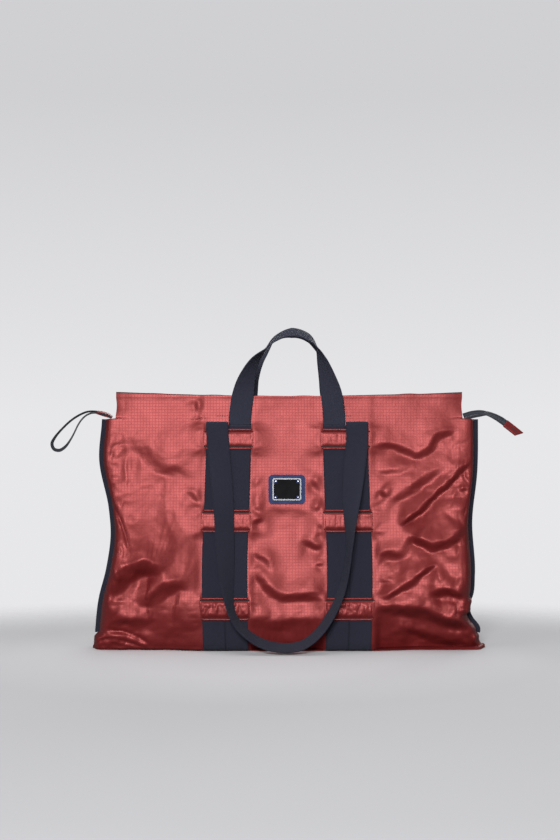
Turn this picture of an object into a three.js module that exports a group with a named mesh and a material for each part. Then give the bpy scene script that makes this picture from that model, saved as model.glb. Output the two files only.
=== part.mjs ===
// A foldable tote bag of thin nylon. Webbing runs up both faces and under the base through cloth
// bridges, and leaves the top bridge as a short handle and a long strap on each face.
// Millimetres, +Z up, the front faces -Y, and z = 0 is the surface that the bag stands on.

import * as THREE from "three";

// Driving dimensions
const zipHeight = 342;
const collarHeight = 40;
const baseHalfDepth = 65;
const topHalfDepth = 28;
const bodyHalfWidth = 281;
const collarHalfWidth = 259;
const panelHalfWidth = 160;
const clothThickness = 1.2;
const gap = 0.3;

// Webbing: two bands side by side make a pair, and each face has a left and a right pair.
const webWidth = 33;
const webThickness = 1.6;
const webPitch = 33.4;
const pairSpacing = 172.6;
const pairShift = -3;

// Cloth bridges over the webbing, as heights of their lower edges.
const bridgeHeight = 33;
const bridgeLevels = { low: 47, middle: 175, top: 297 };
const bridgeThickness = 1;

// Side seam binding
const bindingWidth = 7.5;
const bindingThickness = 2.4;
const bindingFoot = 22;
const bindingGap = 0.8;
const seamHeights = [bindingFoot, 45, 75, 110, 145, 180, 215, 255, 300];

// Name plate
const plateCentre = { x: -3.4, z: 237.5 };
const patchSize = { width: 54, height: 43.5, corner: 6 };
const frameSize = { width: 42.5, height: 33, corner: 3, border: 2 };
const rivetRadius = 1.5;

// Zip
const sliderStart = -225;
const sliderLength = 12;
const pullLength = 24;

// Heights that follow from the sizes above
const topHeight = zipHeight + collarHeight;
const topBridgeEnd = bridgeLevels.top + bridgeHeight;
const innerRunEnd = topBridgeEnd + 0.2;
const outerRunEnd = topBridgeEnd + 2.4;
const handleRoot = topBridgeEnd + 2.6;
const strapFold = topBridgeEnd + 4.9;
const slope = (baseHalfDepth - topHalfDepth) / zipHeight;
const slopeAngle = Math.atan(slope);

const red = 0xb2484a;
const navy = 0x2d3240;
const darkNavy = 0x262628;
const patchBlue = 0x323c69;
const black = 0x0f0c10;
const silver = 0xc8c8d0;

const bag = new THREE.Group();

function material(color, roughness, metalness = 0) {
  return new THREE.MeshStandardMaterial({ color, roughness, metalness });
}

function add(parent, name, geometry, look) {
  const mesh = new THREE.Mesh(geometry, look);
  mesh.name = name;
  parent.add(mesh);
  return mesh;
}

// A closed body from its points and four-sided faces, turned so that the faces point out.
function closedBody(points, faces) {
  const index = [];
  for (const [a, b, c, d] of faces) {
    index.push(a, b, c, a, c, d);
  }
  let volume = 0;
  for (let i = 0; i < index.length; i += 3) {
    const [p, q, r] = [points[index[i]], points[index[i + 1]], points[index[i + 2]]];
    volume += p.dot(q.clone().cross(r));
  }
  if (volume < 0) {
    index.reverse();
  }
  const geometry = new THREE.BufferGeometry().setFromPoints(points);
  geometry.setIndex(index);
  geometry.computeVertexNormals();
  return geometry;
}

// A sheet with thickness. pointAt(row, column, side) gives the outer side as 0 and the inner as 1.
function sheet(rows, columns, pointAt) {
  const points = [];
  for (const side of [0, 1]) {
    for (let i = 0; i < rows; i++) {
      for (let j = 0; j < columns; j++) {
        points.push(pointAt(i, j, side));
      }
    }
  }
  const id = (side, i, j) => (side * rows + i) * columns + j;
  const faces = [];
  for (let i = 0; i < rows - 1; i++) {
    for (let j = 0; j < columns - 1; j++) {
      faces.push([id(0, i, j), id(0, i, j + 1), id(0, i + 1, j + 1), id(0, i + 1, j)]);
      faces.push([id(1, i, j), id(1, i + 1, j), id(1, i + 1, j + 1), id(1, i, j + 1)]);
    }
  }
  const lastRow = rows - 1;
  const lastColumn = columns - 1;
  for (let j = 0; j < lastColumn; j++) {
    faces.push([id(0, 0, j + 1), id(0, 0, j), id(1, 0, j), id(1, 0, j + 1)]);
    faces.push([id(0, lastRow, j), id(0, lastRow, j + 1), id(1, lastRow, j + 1), id(1, lastRow, j)]);
  }
  for (let i = 0; i < lastRow; i++) {
    faces.push([id(0, i, 0), id(0, i + 1, 0), id(1, i + 1, 0), id(1, i, 0)]);
    const [a, b] = [id(0, i + 1, lastColumn), id(0, i, lastColumn)];
    faces.push([a, b, id(1, i, lastColumn), id(1, i + 1, lastColumn)]);
  }
  return closedBody(points, faces);
}

// A flat band along a smooth route. Each stop of the route has its point, the heading of the band's
// inner edge in the XZ plane, and the turn of that edge out of the plane towards +Y, in degrees.
function band(route, width, thickness, stepsPerStop) {
  const curve = new THREE.CatmullRomCurve3(
    route.map((stop) => new THREE.Vector3(...stop.at)),
    false,
    "centripetal",
  );
  const last = route.length - 1;
  const steps = last * stepsPerStop;
  const points = [];
  for (let k = 0; k <= steps; k++) {
    const along = (k / steps) * last;
    const from = Math.min(Math.floor(along), last - 1);
    const share = along - from;
    const heading = THREE.MathUtils.lerp(route[from].heading, route[from + 1].heading, share);
    const turn = THREE.MathUtils.lerp(route[from].turn, route[from + 1].turn, share);
    const headingAngle = THREE.MathUtils.degToRad(heading);
    const turnAngle = THREE.MathUtils.degToRad(turn);
    const centre = curve.getPoint(k / steps);
    const tangent = curve.getTangent(k / steps);
    const across = new THREE.Vector3(
      Math.cos(headingAngle) * Math.cos(turnAngle),
      Math.sin(turnAngle),
      Math.sin(headingAngle) * Math.cos(turnAngle),
    );
    across.addScaledVector(tangent, -across.dot(tangent)).normalize();
    const through = tangent.clone().cross(across);
    for (const [a, t] of [[-1, -1], [1, -1], [1, 1], [-1, 1]]) {
      points.push(
        centre.clone().addScaledVector(across, (a * width) / 2).addScaledVector(through, (t * thickness) / 2),
      );
    }
  }
  const faces = [[3, 2, 1, 0]];
  for (let k = 0; k < steps; k++) {
    for (let c = 0; c < 4; c++) {
      const next = (c + 1) % 4;
      faces.push([k * 4 + c, k * 4 + next, k * 4 + 4 + next, k * 4 + 4 + c]);
    }
  }
  faces.push([0, 1, 2, 3].map((c) => steps * 4 + c));
  return closedBody(points, faces);
}

// Shape of the body

// The half width at a height: a straight upper part, a soft waist, and a flare at the base.
function halfWidthAt(z) {
  const waist = 10 * Math.exp(-(((z - 175) / 70) ** 2));
  const flare = 11 * Math.max(0, 1 - z / 90) ** 2;
  return bodyHalfWidth - waist + flare;
}

function seamAt(z) {
  return halfWidthAt(Math.min(z, zipHeight)) - bindingWidth - bindingGap;
}

// The half depth of the flat middle of a face at a height.
function halfDepthAt(z) {
  return baseHalfDepth - slope * z;
}

// The outer surface of the front: flat in the middle, and drawn back to the side seams.
function frontAt(x, z) {
  const share = THREE.MathUtils.clamp((Math.abs(x) - panelHalfWidth) / (seamAt(z) - panelHalfWidth), 0, 1);
  const squareness = 2 + 3 * Math.max(0, 1 - z / zipHeight) ** 2;
  const fullness = (1 - share ** squareness) ** 0.9;
  const seamHalfDepth = 1.6;
  return -(seamHalfDepth + (halfDepthAt(z) - seamHalfDepth) * fullness);
}

function onFront(x, z, out) {
  return new THREE.Vector3(x, frontAt(x, z) - out, z);
}

// A cloth or webbing patch that lies on the front between two heights, from one distance out to another.
function patchOnFront(columns, rows, inner, outer) {
  return sheet(rows.length, columns.length, (i, j, side) =>
    onFront(columns[j], rows[i], side === 0 ? outer : inner),
  );
}

function steps(from, to, count) {
  return Array.from({ length: count + 1 }, (_, i) => from + ((to - from) * i) / count);
}

function pairCentre(side) {
  return side * (pairSpacing / 2) + pairShift;
}

// The top edge dips a little between the corners.
function topEdgeAt(x) {
  return topHeight - 6 * (1 - (x / collarHalfWidth) ** 2);
}

const webFoot = 2;

function facePanel() {
  const columns = steps(-panelHalfWidth + gap / 2, panelHalfWidth - gap / 2, 10);
  const rows = [webFoot, topHeight];
  return sheet(rows.length, columns.length, (i, j, side) => {
    const z = Math.min(rows[i], topEdgeAt(columns[j]));
    return onFront(columns[j], z, side === 0 ? 0 : -clothThickness);
  });
}

// A wing is the cloth between the flat middle and the side seam. Above the zip it is narrower.
function faceWing(side) {
  const stepHeight = 0.6;
  const rows = [0.8, ...seamHeights, zipHeight - stepHeight, zipHeight + stepHeight, topHeight];
  const columns = 9;
  return sheet(rows.length, columns, (i, j, face) => {
    const z = rows[i];
    const inner = panelHalfWidth + gap / 2;
    const outer = z < zipHeight ? seamAt(z) : collarHalfWidth;
    const share = Math.sin(((j / (columns - 1)) * Math.PI) / 2);
    const x = side * (inner + (outer - inner) * share);
    const height = Math.min(z, topEdgeAt(x));
    return onFront(x, height, face === 0 ? 0 : -clothThickness);
  });
}

function webRun(centre, end) {
  const edges = [centre - webWidth / 2, centre + webWidth / 2];
  return patchOnFront(edges, [webFoot, end], gap, gap + webThickness);
}

// A bridge is a low hat section: its brims lie on the panel and its crown covers both bands.
function bridge(centre, level) {
  const crown = webPitch + 0.8;
  const foot = webPitch + 2.2;
  const brim = webPitch + 4.2;
  const columns = [-brim, -foot, -crown, crown, foot, brim];
  const crownInner = gap + webThickness + gap;
  const rows = [level, level + bridgeHeight];
  return sheet(rows.length, columns.length, (i, j, side) => {
    const inner = Math.abs(columns[j]) > crown ? gap : crownInner;
    return onFront(centre + columns[j], rows[i], side === 0 ? inner + bridgeThickness : inner);
  });
}

// The short handle rises from the two inner bands, turns edge-on at its shoulders, and shows part of
// its flat at the top. The back handle stands just behind the front one, a little to its right.
function shortHandle(isBack) {
  const left = pairCentre(-1) + webPitch / 2;
  const right = pairCentre(1) - webPitch / 2;
  const lean = 0.06;
  const straightRise = 12;
  const rootDepth = halfDepthAt(handleRoot) + gap + webThickness / 2;
  const stop = (x, z, heading, turn) => ({
    at: [x, -rootDepth - lean * (z - handleRoot), z],
    heading,
    turn,
  });
  const mirrored = ({ at: [x, y, z], heading, turn }) => ({ at: [-x, y, z], heading: -180 - heading, turn });
  const behind = isBack ? 5 : 0;
  const lift = isBack ? 3 : 0;
  const arch = [
    stop(-68.5 + behind, 376, -8, 15),
    stop(-62.5 + behind, 402, -20, 44),
    stop(-51 + behind, 427, -38, 68),
    stop(-36 + behind, 444, -48, 90),
    stop(-20, 460 + lift, -58, 105),
    stop(4, 469.5 + lift, -90, 114),
    stop(29, 462 + lift, -122, 108),
    stop(42, 446, -145, 90),
    stop(49.5, 427, -158, 67),
    stop(57, 402, -163, 45),
    stop(63, 377, -171, 20),
  ];
  const route = [
    stop(left, handleRoot, 0, 0),
    stop(left, handleRoot + straightRise, 0, 0),
    ...(isBack ? arch.map(mirrored).reverse() : arch),
    stop(right, handleRoot + straightRise, -180, 0),
    stop(right, handleRoot, -180, 0),
  ];
  return band(route, webWidth, webThickness, 3);
}

// The long strap folds forward over the top bridge and hangs in front of the face. Its inner edge
// turns in towards the face, so its middle hangs half a width clear of the cloth.
function longStrap() {
  const clearOfHandle = 0.5;
  const left = pairCentre(-1) - webPitch / 2 - clearOfHandle;
  const right = pairCentre(1) + webPitch / 2 + clearOfHandle;
  const restOut = 4.8;
  const foldRadius = 1.7;
  const stop = (x, z, heading, turn) => {
    const out = restOut + (webWidth / 2) * Math.sin(THREE.MathUtils.degToRad(turn));
    return { at: [x, -halfDepthAt(z) - out, z], heading, turn };
  };
  const fold = (x, heading) =>
    [0, 60, 120].map((degrees) => {
      const angle = THREE.MathUtils.degToRad(degrees);
      const out = restOut - foldRadius - foldRadius * Math.cos(angle);
      return {
        at: [x, -halfDepthAt(strapFold) - out, strapFold + foldRadius * Math.sin(angle)],
        heading,
        turn: 0,
      };
    });
  const route = [
    ...fold(left, 0),
    stop(left, strapFold - 1, 0, 0),
    stop(left + 2, 300, 0, 0),
    stop(-97, 223, 0, 23),
    stop(-93, 140, 3, 41),
    stop(-88, 79, 12, 66),
    stop(-81, 54, 26, 74),
    stop(-67, 34, 45, 74),
    stop(-40, 16, 68, 73),
    stop(-8, 9.5, 88, 73),
    stop(20, 14, 110, 73),
    stop(44, 33, 132, 73),
    stop(61, 58, 145, 72),
    stop(75, 88, 154, 74),
    stop(83.5, 122, 164, 77),
    stop(87, 147, 170, 78),
    stop(89, 177, 174, 68),
    stop(91, 211, 176, 48),
    stop(96, 270, 178, 12),
    stop(right, 310, 180, 0),
    stop(right, strapFold - 1, 180, 0),
    ...fold(right, 180).reverse(),
  ];
  return band(route, webWidth, webThickness, 2);
}

// One face of the bag, built as the front. The back is the same face turned half round.
function face(prefix) {
  const isBack = prefix === "back";
  const group = new THREE.Group();
  add(group, `${prefix}_panel`, facePanel(), material(red, 0.45));
  for (const [side, sideName] of [[-1, "left"], [1, "right"]]) {
    add(group, `${prefix}_wing_${sideName}`, faceWing(side), material(red, 0.45));
    const centre = pairCentre(side);
    const outer = centre + (side * webPitch) / 2;
    const inner = centre - (side * webPitch) / 2;
    add(group, `${prefix}_web_outer_${sideName}`, webRun(outer, outerRunEnd), material(navy, 0.85));
    add(group, `${prefix}_web_inner_${sideName}`, webRun(inner, innerRunEnd), material(navy, 0.85));
    for (const [levelName, level] of Object.entries(bridgeLevels)) {
      add(group, `${prefix}_bridge_${levelName}_${sideName}`, bridge(centre, level), material(red, 0.45));
    }
  }
  add(group, `${prefix}_short_handle`, shortHandle(isBack), material(navy, 0.85));
  add(group, `${prefix}_long_strap`, longStrap(), material(navy, 0.85));
  return group;
}

// Base

const basePanelDepth = 2 * (baseHalfDepth - clothThickness - 0.6);
const baseThickness = 3.6;

// The base panel has a channel under it for each pair of webbing bands.
function basePanel() {
  const end = panelHalfWidth - gap;
  const channelHalf = webPitch + 0.6;
  const channelDepth = webThickness + 0.6;
  const outline = [new THREE.Vector2(-end, 0)];
  for (const side of [-1, 1]) {
    const centre = pairCentre(side);
    outline.push(new THREE.Vector2(centre - channelHalf, 0));
    outline.push(new THREE.Vector2(centre - channelHalf, channelDepth));
    outline.push(new THREE.Vector2(centre + channelHalf, channelDepth));
    outline.push(new THREE.Vector2(centre + channelHalf, 0));
  }
  outline.push(new THREE.Vector2(end, 0));
  outline.push(new THREE.Vector2(end, baseThickness));
  outline.push(new THREE.Vector2(-end, baseThickness));
  const geometry = new THREE.ExtrudeGeometry(new THREE.Shape(outline), {
    depth: basePanelDepth,
    bevelEnabled: false,
  });
  geometry.rotateX(Math.PI / 2);
  geometry.translate(0, basePanelDepth / 2, 0);
  return geometry;
}

// A gusset is the folded end of the base, inside the wings.
function baseGusset(side) {
  const columns = 8;
  const inner = panelHalfWidth + gap;
  const outer = seamAt(0) - 6;
  return sheet(2, columns, (i, j, face) => {
    const share = Math.sin(((j / (columns - 1)) * Math.PI) / 2);
    const x = inner + (outer - inner) * share;
    const reach = -frontAt(x, baseThickness) - clothThickness - 2;
    const y = (i === 0 ? -1 : 1) * reach;
    return new THREE.Vector3(side * x, y, face === 0 ? 0 : baseThickness);
  });
}

function base() {
  const group = new THREE.Group();
  add(group, "base_panel", basePanel(), material(red, 0.45));
  const webReach = 2 * (baseHalfDepth + gap + webThickness);
  for (const [side, sideName] of [[-1, "left"], [1, "right"]]) {
    add(group, `base_gusset_${sideName}`, baseGusset(side), material(red, 0.45));
    for (const [step, place] of [[1, "outer"], [-1, "inner"]]) {
      const strip = new THREE.BoxGeometry(webWidth, webReach, webThickness);
      const mesh = add(group, `base_web_${place}_${sideName}`, strip, material(darkNavy, 0.85));
      mesh.position.set(pairCentre(side) + (step * side * webPitch) / 2, 0, webThickness / 2);
    }
  }
  return group;
}

// Side seams

function sideBinding(side) {
  const route = [...seamHeights, zipHeight - 1].map((z) => ({
    at: [side * (halfWidthAt(z) - bindingWidth / 2), 0, z],
    heading: side > 0 ? 180 : 0,
    turn: 0,
  }));
  return band(route, bindingWidth, bindingThickness, 2);
}

// Zip

// Half the clear width inside the walls at the zip.
function mouthAt(x) {
  return -frontAt(x, zipHeight) - clothThickness - 0.5;
}

// A strip that follows the mouth on the front side, between two shares of its half width.
function mouthStrip(outerShare, innerShare, outerInset, innerInset, bottom, top) {
  const reach = collarHalfWidth - 6;
  const xs = steps(-reach, reach, 20);
  return sheet(2, xs.length, (i, j, side) => {
    const mouth = mouthAt(xs[j]);
    const y = i === 0 ? mouth * outerShare - outerInset : mouth * innerShare - innerInset;
    return new THREE.Vector3(xs[j], -y, side === 0 ? top : bottom);
  });
}

function zipHalf(prefix) {
  const group = new THREE.Group();
  const edge = 0.34;
  add(group, `zip_gusset_${prefix}`, mouthStrip(1, 0.8, 0, 0, 338, 338.8), material(red, 0.5));
  add(group, `zip_tape_${prefix}`, mouthStrip(0.86, edge, 0, 0, 339.2, 340.1), material(navy, 0.9));
  add(group, `zip_coil_${prefix}`, mouthStrip(edge, edge, 0.3, 2, 338.6, 341.2), material(darkNavy, 0.4));
  return group;
}

// The slider's body has an upper and a lower plate joined by a post. The open zip runs beside it.
function slider() {
  const group = new THREE.Group();
  group.position.set(sliderStart, 0, 340);
  const plateHalf = 4.4;
  const postHalf = 1.6;
  const plateInner = 1.9;
  const plateOuter = 3.1;
  const quarter = [
    [postHalf, -plateInner],
    [plateHalf, -plateInner],
    [plateHalf, -plateOuter],
  ];
  const mirrored = quarter.map(([y, z]) => [-y, z]).reverse();
  const lower = [...quarter, ...mirrored];
  const upper = lower.map(([y, z]) => [-y, -z]);
  const outline = [...lower, ...upper].map(([y, z]) => new THREE.Vector2(y, z));
  const body = new THREE.ExtrudeGeometry(new THREE.Shape(outline), {
    depth: sliderLength,
    bevelEnabled: false,
  });
  body.translate(0, 0, -sliderLength / 2);
  body.applyMatrix4(
    new THREE.Matrix4().makeBasis(
      new THREE.Vector3(0, 1, 0),
      new THREE.Vector3(0, 0, 1),
      new THREE.Vector3(1, 0, 0),
    ),
  );
  add(group, "zip_slider", body, material(silver, 0.3, 1));

  const earHalf = 3.6;
  const earInner = 2.6;
  const earTop = 4.6;
  const floorTop = 0.8;
  const saddle = [
    [-earHalf, 0],
    [earHalf, 0],
    [earHalf, earTop],
    [earInner, earTop],
    [earInner, floorTop],
    [-earInner, floorTop],
    [-earInner, earTop],
    [-earHalf, earTop],
  ].map(([y, z]) => new THREE.Vector2(y, z));
  const earLength = 3.4;
  const ears = new THREE.ExtrudeGeometry(new THREE.Shape(saddle), { depth: earLength, bevelEnabled: false });
  ears.translate(0, 0, -earLength / 2);
  ears.applyMatrix4(
    new THREE.Matrix4().makeBasis(
      new THREE.Vector3(0, 1, 0),
      new THREE.Vector3(0, 0, 1),
      new THREE.Vector3(1, 0, 0),
    ),
  );
  ears.translate(0, 0, plateOuter + gap);
  add(group, "zip_slider_ears", ears, material(silver, 0.3, 1));

  const pinHeight = plateOuter + gap + 3.1;
  const pin = new THREE.CylinderGeometry(0.7, 0.7, 2 * (earInner - gap), 12);
  const pinMesh = add(group, "zip_pull_pin", pin, material(silver, 0.3, 1));
  pinMesh.position.z = pinHeight;

  const eyeRadius = 1.9;
  const bladeHalf = 0.6;
  const tab = new THREE.Shape();
  const bladeStart = Math.asin(bladeHalf / eyeRadius);
  tab.moveTo(eyeRadius * Math.cos(bladeStart), bladeHalf);
  tab.absarc(0, 0, eyeRadius, bladeStart, 2 * Math.PI - bladeStart, false);
  tab.lineTo(pullLength, -bladeHalf);
  tab.lineTo(pullLength, bladeHalf);
  tab.closePath();
  const eye = new THREE.Path();
  eye.absarc(0, 0, 1.1, 0, 2 * Math.PI, true);
  tab.holes.push(eye);
  const tabWidth = 4;
  const pull = new THREE.ExtrudeGeometry(tab, { depth: tabWidth, bevelEnabled: false, curveSegments: 10 });
  pull.translate(0, 0, -tabWidth / 2);
  pull.rotateX(Math.PI / 2);
  const pullMesh = add(group, "zip_pull", pull, material(silver, 0.3, 1));
  pullMesh.position.z = pinHeight;
  return group;
}

// The closed end of the zip tape sticks out past the right side and ends in a folded cloth tab.
function zipTail() {
  const group = new THREE.Group();
  const stop = (x, z, heading, turn) => ({ at: [x, 0, z], heading, turn });
  const tape = [
    stop(263, 346, 100, 35),
    stop(274, 349.5, 95, 35),
    stop(286, 350.5, 88, 40),
    stop(295, 350, 80, 60),
    stop(308, 345.5, 68, 45),
    stop(318, 340, 58, 32),
    stop(325.5, 334.5, 52, 30),
  ];
  add(group, "zip_tail_tape", band(tape, 12, 1.6, 2), material(navy, 0.9));
  const tab = [stop(326.5, 333.7, 52, 30), stop(336, 326, 50, 30), stop(345, 318.5, 50, 30)];
  add(group, "zip_tail_tab", band(tab, 13, 2.6, 2), material(red, 0.45));
  return group;
}

// The other end of the zip is caught in a small tab that also holds the ribbon loop.
function startTab() {
  const stop = (x, z, heading, turn) => ({ at: [x, 0, z], heading, turn });
  const route = [stop(-266, 344.5, 105, 75), stop(-276, 348.5, 108, 75), stop(-286.5, 351.3, 100, 75)];
  return band(route, 9, 3.6, 2);
}

// The ribbon loop: a narrow ribbon out of the tab, round, and back into it.
function ribbonLoop() {
  const route = [
    [-287.2, 352.5],
    [-295, 353],
    [-303, 352.2],
    [-313, 348.2],
    [-326, 340],
    [-340, 327],
    [-351, 314],
    [-355.5, 304.5],
    [-352.5, 296.5],
    [-344.5, 294.5],
    [-336, 299.5],
    [-329, 308.5],
    [-322, 321],
    [-317, 331.5],
    [-311.5, 340],
    [-304.5, 346.7],
    [-296, 350.4],
    [-287.2, 350.8],
  ];
  const points = route.map(([x, z]) => new THREE.Vector3(x, 0, z));
  const halfWidth = 2.5;
  const halfThickness = 0.45;
  const corner = 0.2;
  const section = new THREE.Shape(
    [
      [halfWidth, halfThickness - corner],
      [halfWidth - corner, halfThickness],
      [-halfWidth + corner, halfThickness],
      [-halfWidth, halfThickness - corner],
      [-halfWidth, -halfThickness + corner],
      [-halfWidth + corner, -halfThickness],
      [halfWidth - corner, -halfThickness],
      [halfWidth, -halfThickness + corner],
    ].map(([across, through]) => new THREE.Vector2(across, through)),
  );
  return new THREE.ExtrudeGeometry(section, {
    extrudePath: new THREE.CatmullRomCurve3(points, false, "centripetal"),
    steps: 40,
  });
}

// Name plate, with no name on it

function roundedRectangle(width, height, corner, Kind) {
  const outline = new Kind();
  const [x, y] = [width / 2 - corner, height / 2 - corner];
  outline.moveTo(x + corner, -y);
  outline.absarc(x, y, corner, 0, Math.PI / 2, false);
  outline.absarc(-x, y, corner, Math.PI / 2, Math.PI, false);
  outline.absarc(-x, -y, corner, Math.PI, 1.5 * Math.PI, false);
  outline.absarc(x, -y, corner, 1.5 * Math.PI, 2 * Math.PI, false);
  return outline;
}

function slab(shape, from, to) {
  const geometry = new THREE.ExtrudeGeometry(shape, {
    depth: to - from,
    bevelEnabled: false,
    curveSegments: 4,
  });
  geometry.translate(0, 0, from);
  return geometry;
}

// The plate's corners are notched so that the rivets show.
function notchedPlate(width, height, notch) {
  const [x, y] = [width / 2, height / 2];
  const corners = [
    [x, y - notch], [x - notch, y - notch], [x - notch, y],
    [-x + notch, y], [-x + notch, y - notch], [-x, y - notch],
    [-x, -y + notch], [-x + notch, -y + notch], [-x + notch, -y],
    [x - notch, -y], [x - notch, -y + notch], [x, -y + notch],
  ];
  return new THREE.Shape(corners.map(([a, b]) => new THREE.Vector2(a, b)));
}

function namePlate() {
  const group = new THREE.Group();
  group.position.set(plateCentre.x, -halfDepthAt(plateCentre.z), plateCentre.z);
  group.rotation.x = Math.PI / 2 - slopeAngle;
  const patchTop = gap + 1.2;
  const patch = roundedRectangle(patchSize.width, patchSize.height, patchSize.corner, THREE.Shape);
  add(group, "plaque_patch", slab(patch, gap, patchTop), material(patchBlue, 0.9));
  const { width, height, corner, border } = frameSize;
  const rim = roundedRectangle(width, height, corner, THREE.Shape);
  const windowSize = [width - 2 * border, height - 2 * border];
  rim.holes.push(roundedRectangle(...windowSize, corner - 1, THREE.Path));
  const metalBack = patchTop + gap;
  add(group, "plaque_frame", slab(rim, metalBack, metalBack + 1.8), material(silver, 0.25, 1));
  const notch = 5;
  const plate = notchedPlate(windowSize[0] - 2 * gap, windowSize[1] - 2 * gap, notch);
  add(group, "plaque_plate", slab(plate, metalBack, metalBack + 1.2), material(black, 0.2));
  const rivetX = windowSize[0] / 2 - notch / 2 - 0.2;
  const rivetY = windowSize[1] / 2 - notch / 2 - 0.2;
  const places = [[-1, 1, "top_left"], [1, 1, "top_right"], [-1, -1, "bottom_left"], [1, -1, "bottom_right"]];
  for (const [sx, sy, corner] of places) {
    const head = new THREE.CylinderGeometry(rivetRadius * 0.8, rivetRadius, 1.6, 10);
    head.rotateX(Math.PI / 2);
    const rivet = add(group, `plaque_rivet_${corner}`, head, material(silver, 0.25, 1));
    rivet.position.set(sx * rivetX, sy * rivetY, metalBack + 0.8);
  }
  return group;
}

// Assembly

const front = face("front");
const back = face("back");
back.rotation.z = Math.PI;
bag.add(front, back, base(), namePlate());
add(bag, "side_binding_left", sideBinding(-1), material(navy, 0.85));
add(bag, "side_binding_right", sideBinding(1), material(navy, 0.85));
const zipFront = zipHalf("front");
const zipBack = zipHalf("back");
zipBack.rotation.z = Math.PI;
bag.add(zipFront, zipBack, slider(), zipTail());
add(bag, "zip_start_tab", startTab(), material(red, 0.45));
add(bag, "ribbon_loop", ribbonLoop(), material(navy, 0.8));

export default bag;
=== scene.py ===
# The looks of the foldable tote bag: ripstop nylon cloth, ribbed webbing, zip and name plate, built
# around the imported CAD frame. Metres, +Z up, the front faces -Y and the bag stands on z = 0.

import math

import bpy
import numpy as np
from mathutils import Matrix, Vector


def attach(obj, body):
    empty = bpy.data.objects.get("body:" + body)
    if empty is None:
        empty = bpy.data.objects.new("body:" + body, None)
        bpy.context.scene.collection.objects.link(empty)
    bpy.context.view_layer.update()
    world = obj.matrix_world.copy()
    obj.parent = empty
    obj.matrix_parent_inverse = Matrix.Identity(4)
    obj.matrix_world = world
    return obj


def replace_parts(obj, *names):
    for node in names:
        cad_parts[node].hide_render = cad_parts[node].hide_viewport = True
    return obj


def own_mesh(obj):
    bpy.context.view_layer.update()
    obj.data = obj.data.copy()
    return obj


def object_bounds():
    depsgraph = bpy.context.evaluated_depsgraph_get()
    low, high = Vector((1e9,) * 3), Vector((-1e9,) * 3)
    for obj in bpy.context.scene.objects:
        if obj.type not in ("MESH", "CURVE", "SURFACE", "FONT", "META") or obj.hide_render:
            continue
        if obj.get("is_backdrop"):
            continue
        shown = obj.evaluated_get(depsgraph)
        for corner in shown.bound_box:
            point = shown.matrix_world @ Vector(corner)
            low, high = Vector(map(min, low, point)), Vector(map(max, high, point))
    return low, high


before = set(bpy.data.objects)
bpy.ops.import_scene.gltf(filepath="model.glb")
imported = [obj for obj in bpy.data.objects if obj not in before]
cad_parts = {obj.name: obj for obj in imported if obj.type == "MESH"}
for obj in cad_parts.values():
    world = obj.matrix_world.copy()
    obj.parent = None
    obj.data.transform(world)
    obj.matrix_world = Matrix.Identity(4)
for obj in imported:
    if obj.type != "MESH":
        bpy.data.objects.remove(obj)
cad_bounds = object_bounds()

# Driving dimensions, which follow the CAD part. The SEEN and SPLAY values are for the looks only.
ZIP_HEIGHT = 0.342
TOP_HEIGHT = 0.382
TOP_DIP = 0.006
BASE_HALF_DEPTH = 0.065
SLOPE = 0.037 / ZIP_HEIGHT
COLLAR_HALF_WIDTH = 0.259
COLLAR_SEEN_HALF_WIDTH = 0.2565
PANEL_HALF_WIDTH = 0.160
SEAM_HALF_DEPTH = 0.0016
WEB_WIDTH = 0.033
WEB_SEEN_WIDTH = 0.0334
WEB_THICKNESS = 0.0016
WEB_PITCH = 0.0334
PAIR_SPACING = 0.1726
PAIR_SHIFT = -0.003
PAIR_SPLAY = [(0.0, 0.0035), (0.06, 0.0048), (0.13, 0.0055), (0.22, 0.0025), (0.29, 0.0006), (0.34, 0.0)]
BRIDGE_HEIGHTS = {"low": 0.033, "middle": 0.033, "top": 0.0300}
BRIDGE_END = 0.0030  # how far out the cloth beside a bridge is drawn, which the bridge's ends follow
BRIDGE_GROOVE = 0.0041  # from a bridge's edge to the stitched groove
BRIDGE_LEVELS = {"low": 0.047, "middle": 0.175, "top": 0.297}
HANDLE_ROOT = 0.3326
STRAP_FOLD = 0.3349
PLATE_CENTRE = (-0.0034, 0.2375)
GAP = 0.0003  # between the cloth and the webbing on it

# Cloth and its fineness
CLOTH_THICKNESS = 0.0006
CLOTH_STEP = 0.0024
RIPSTOP_PITCH = 0.0045
FOLD_STRENGTH = 1.6

# The side seams' outlines: (height, distance from the middle), softly uneven as the cloth pulls them
LEFT_OUTLINE = [
    (0.0, 0.2925), (0.029, 0.2905), (0.070, 0.2860), (0.1165, 0.2745), (0.1705, 0.2676),
    (0.208, 0.2705), (0.2815, 0.2848), (0.3415, 0.2806), (0.383, 0.2806),
]
RIGHT_OUTLINE = [
    (0.0, 0.2925), (0.010, 0.2850), (0.029, 0.2865), (0.043, 0.2760), (0.0655, 0.2715), (0.079, 0.2765),
    (0.107, 0.2789), (0.190, 0.2750), (0.2635, 0.2825), (0.3415, 0.2835), (0.383, 0.2835),
]
BINDING_WIDTH = 0.0086
BINDING_THICKNESS = 0.0024
BINDING_FOOT = 0.022

# The zip's coil: its pitch, and one turn's centres as (inward from the tape's edge, height)
COIL_PITCH = 0.0017
COIL_TURN = [
    (0.0, -0.0008), (0.0006, 0.0010), (0.0022, 0.0012),
    (0.0030, 0.0), (0.0022, -0.0012), (0.0006, -0.0010),
]


# Small numeric tools

def smoothstep(low, high, value):
    share = np.clip((np.asarray(value, float) - low) / (high - low), 0, 1)
    return share * share * (3 - 2 * share)


def lerp(a, b, share):
    return a + (b - a) * share


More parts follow.
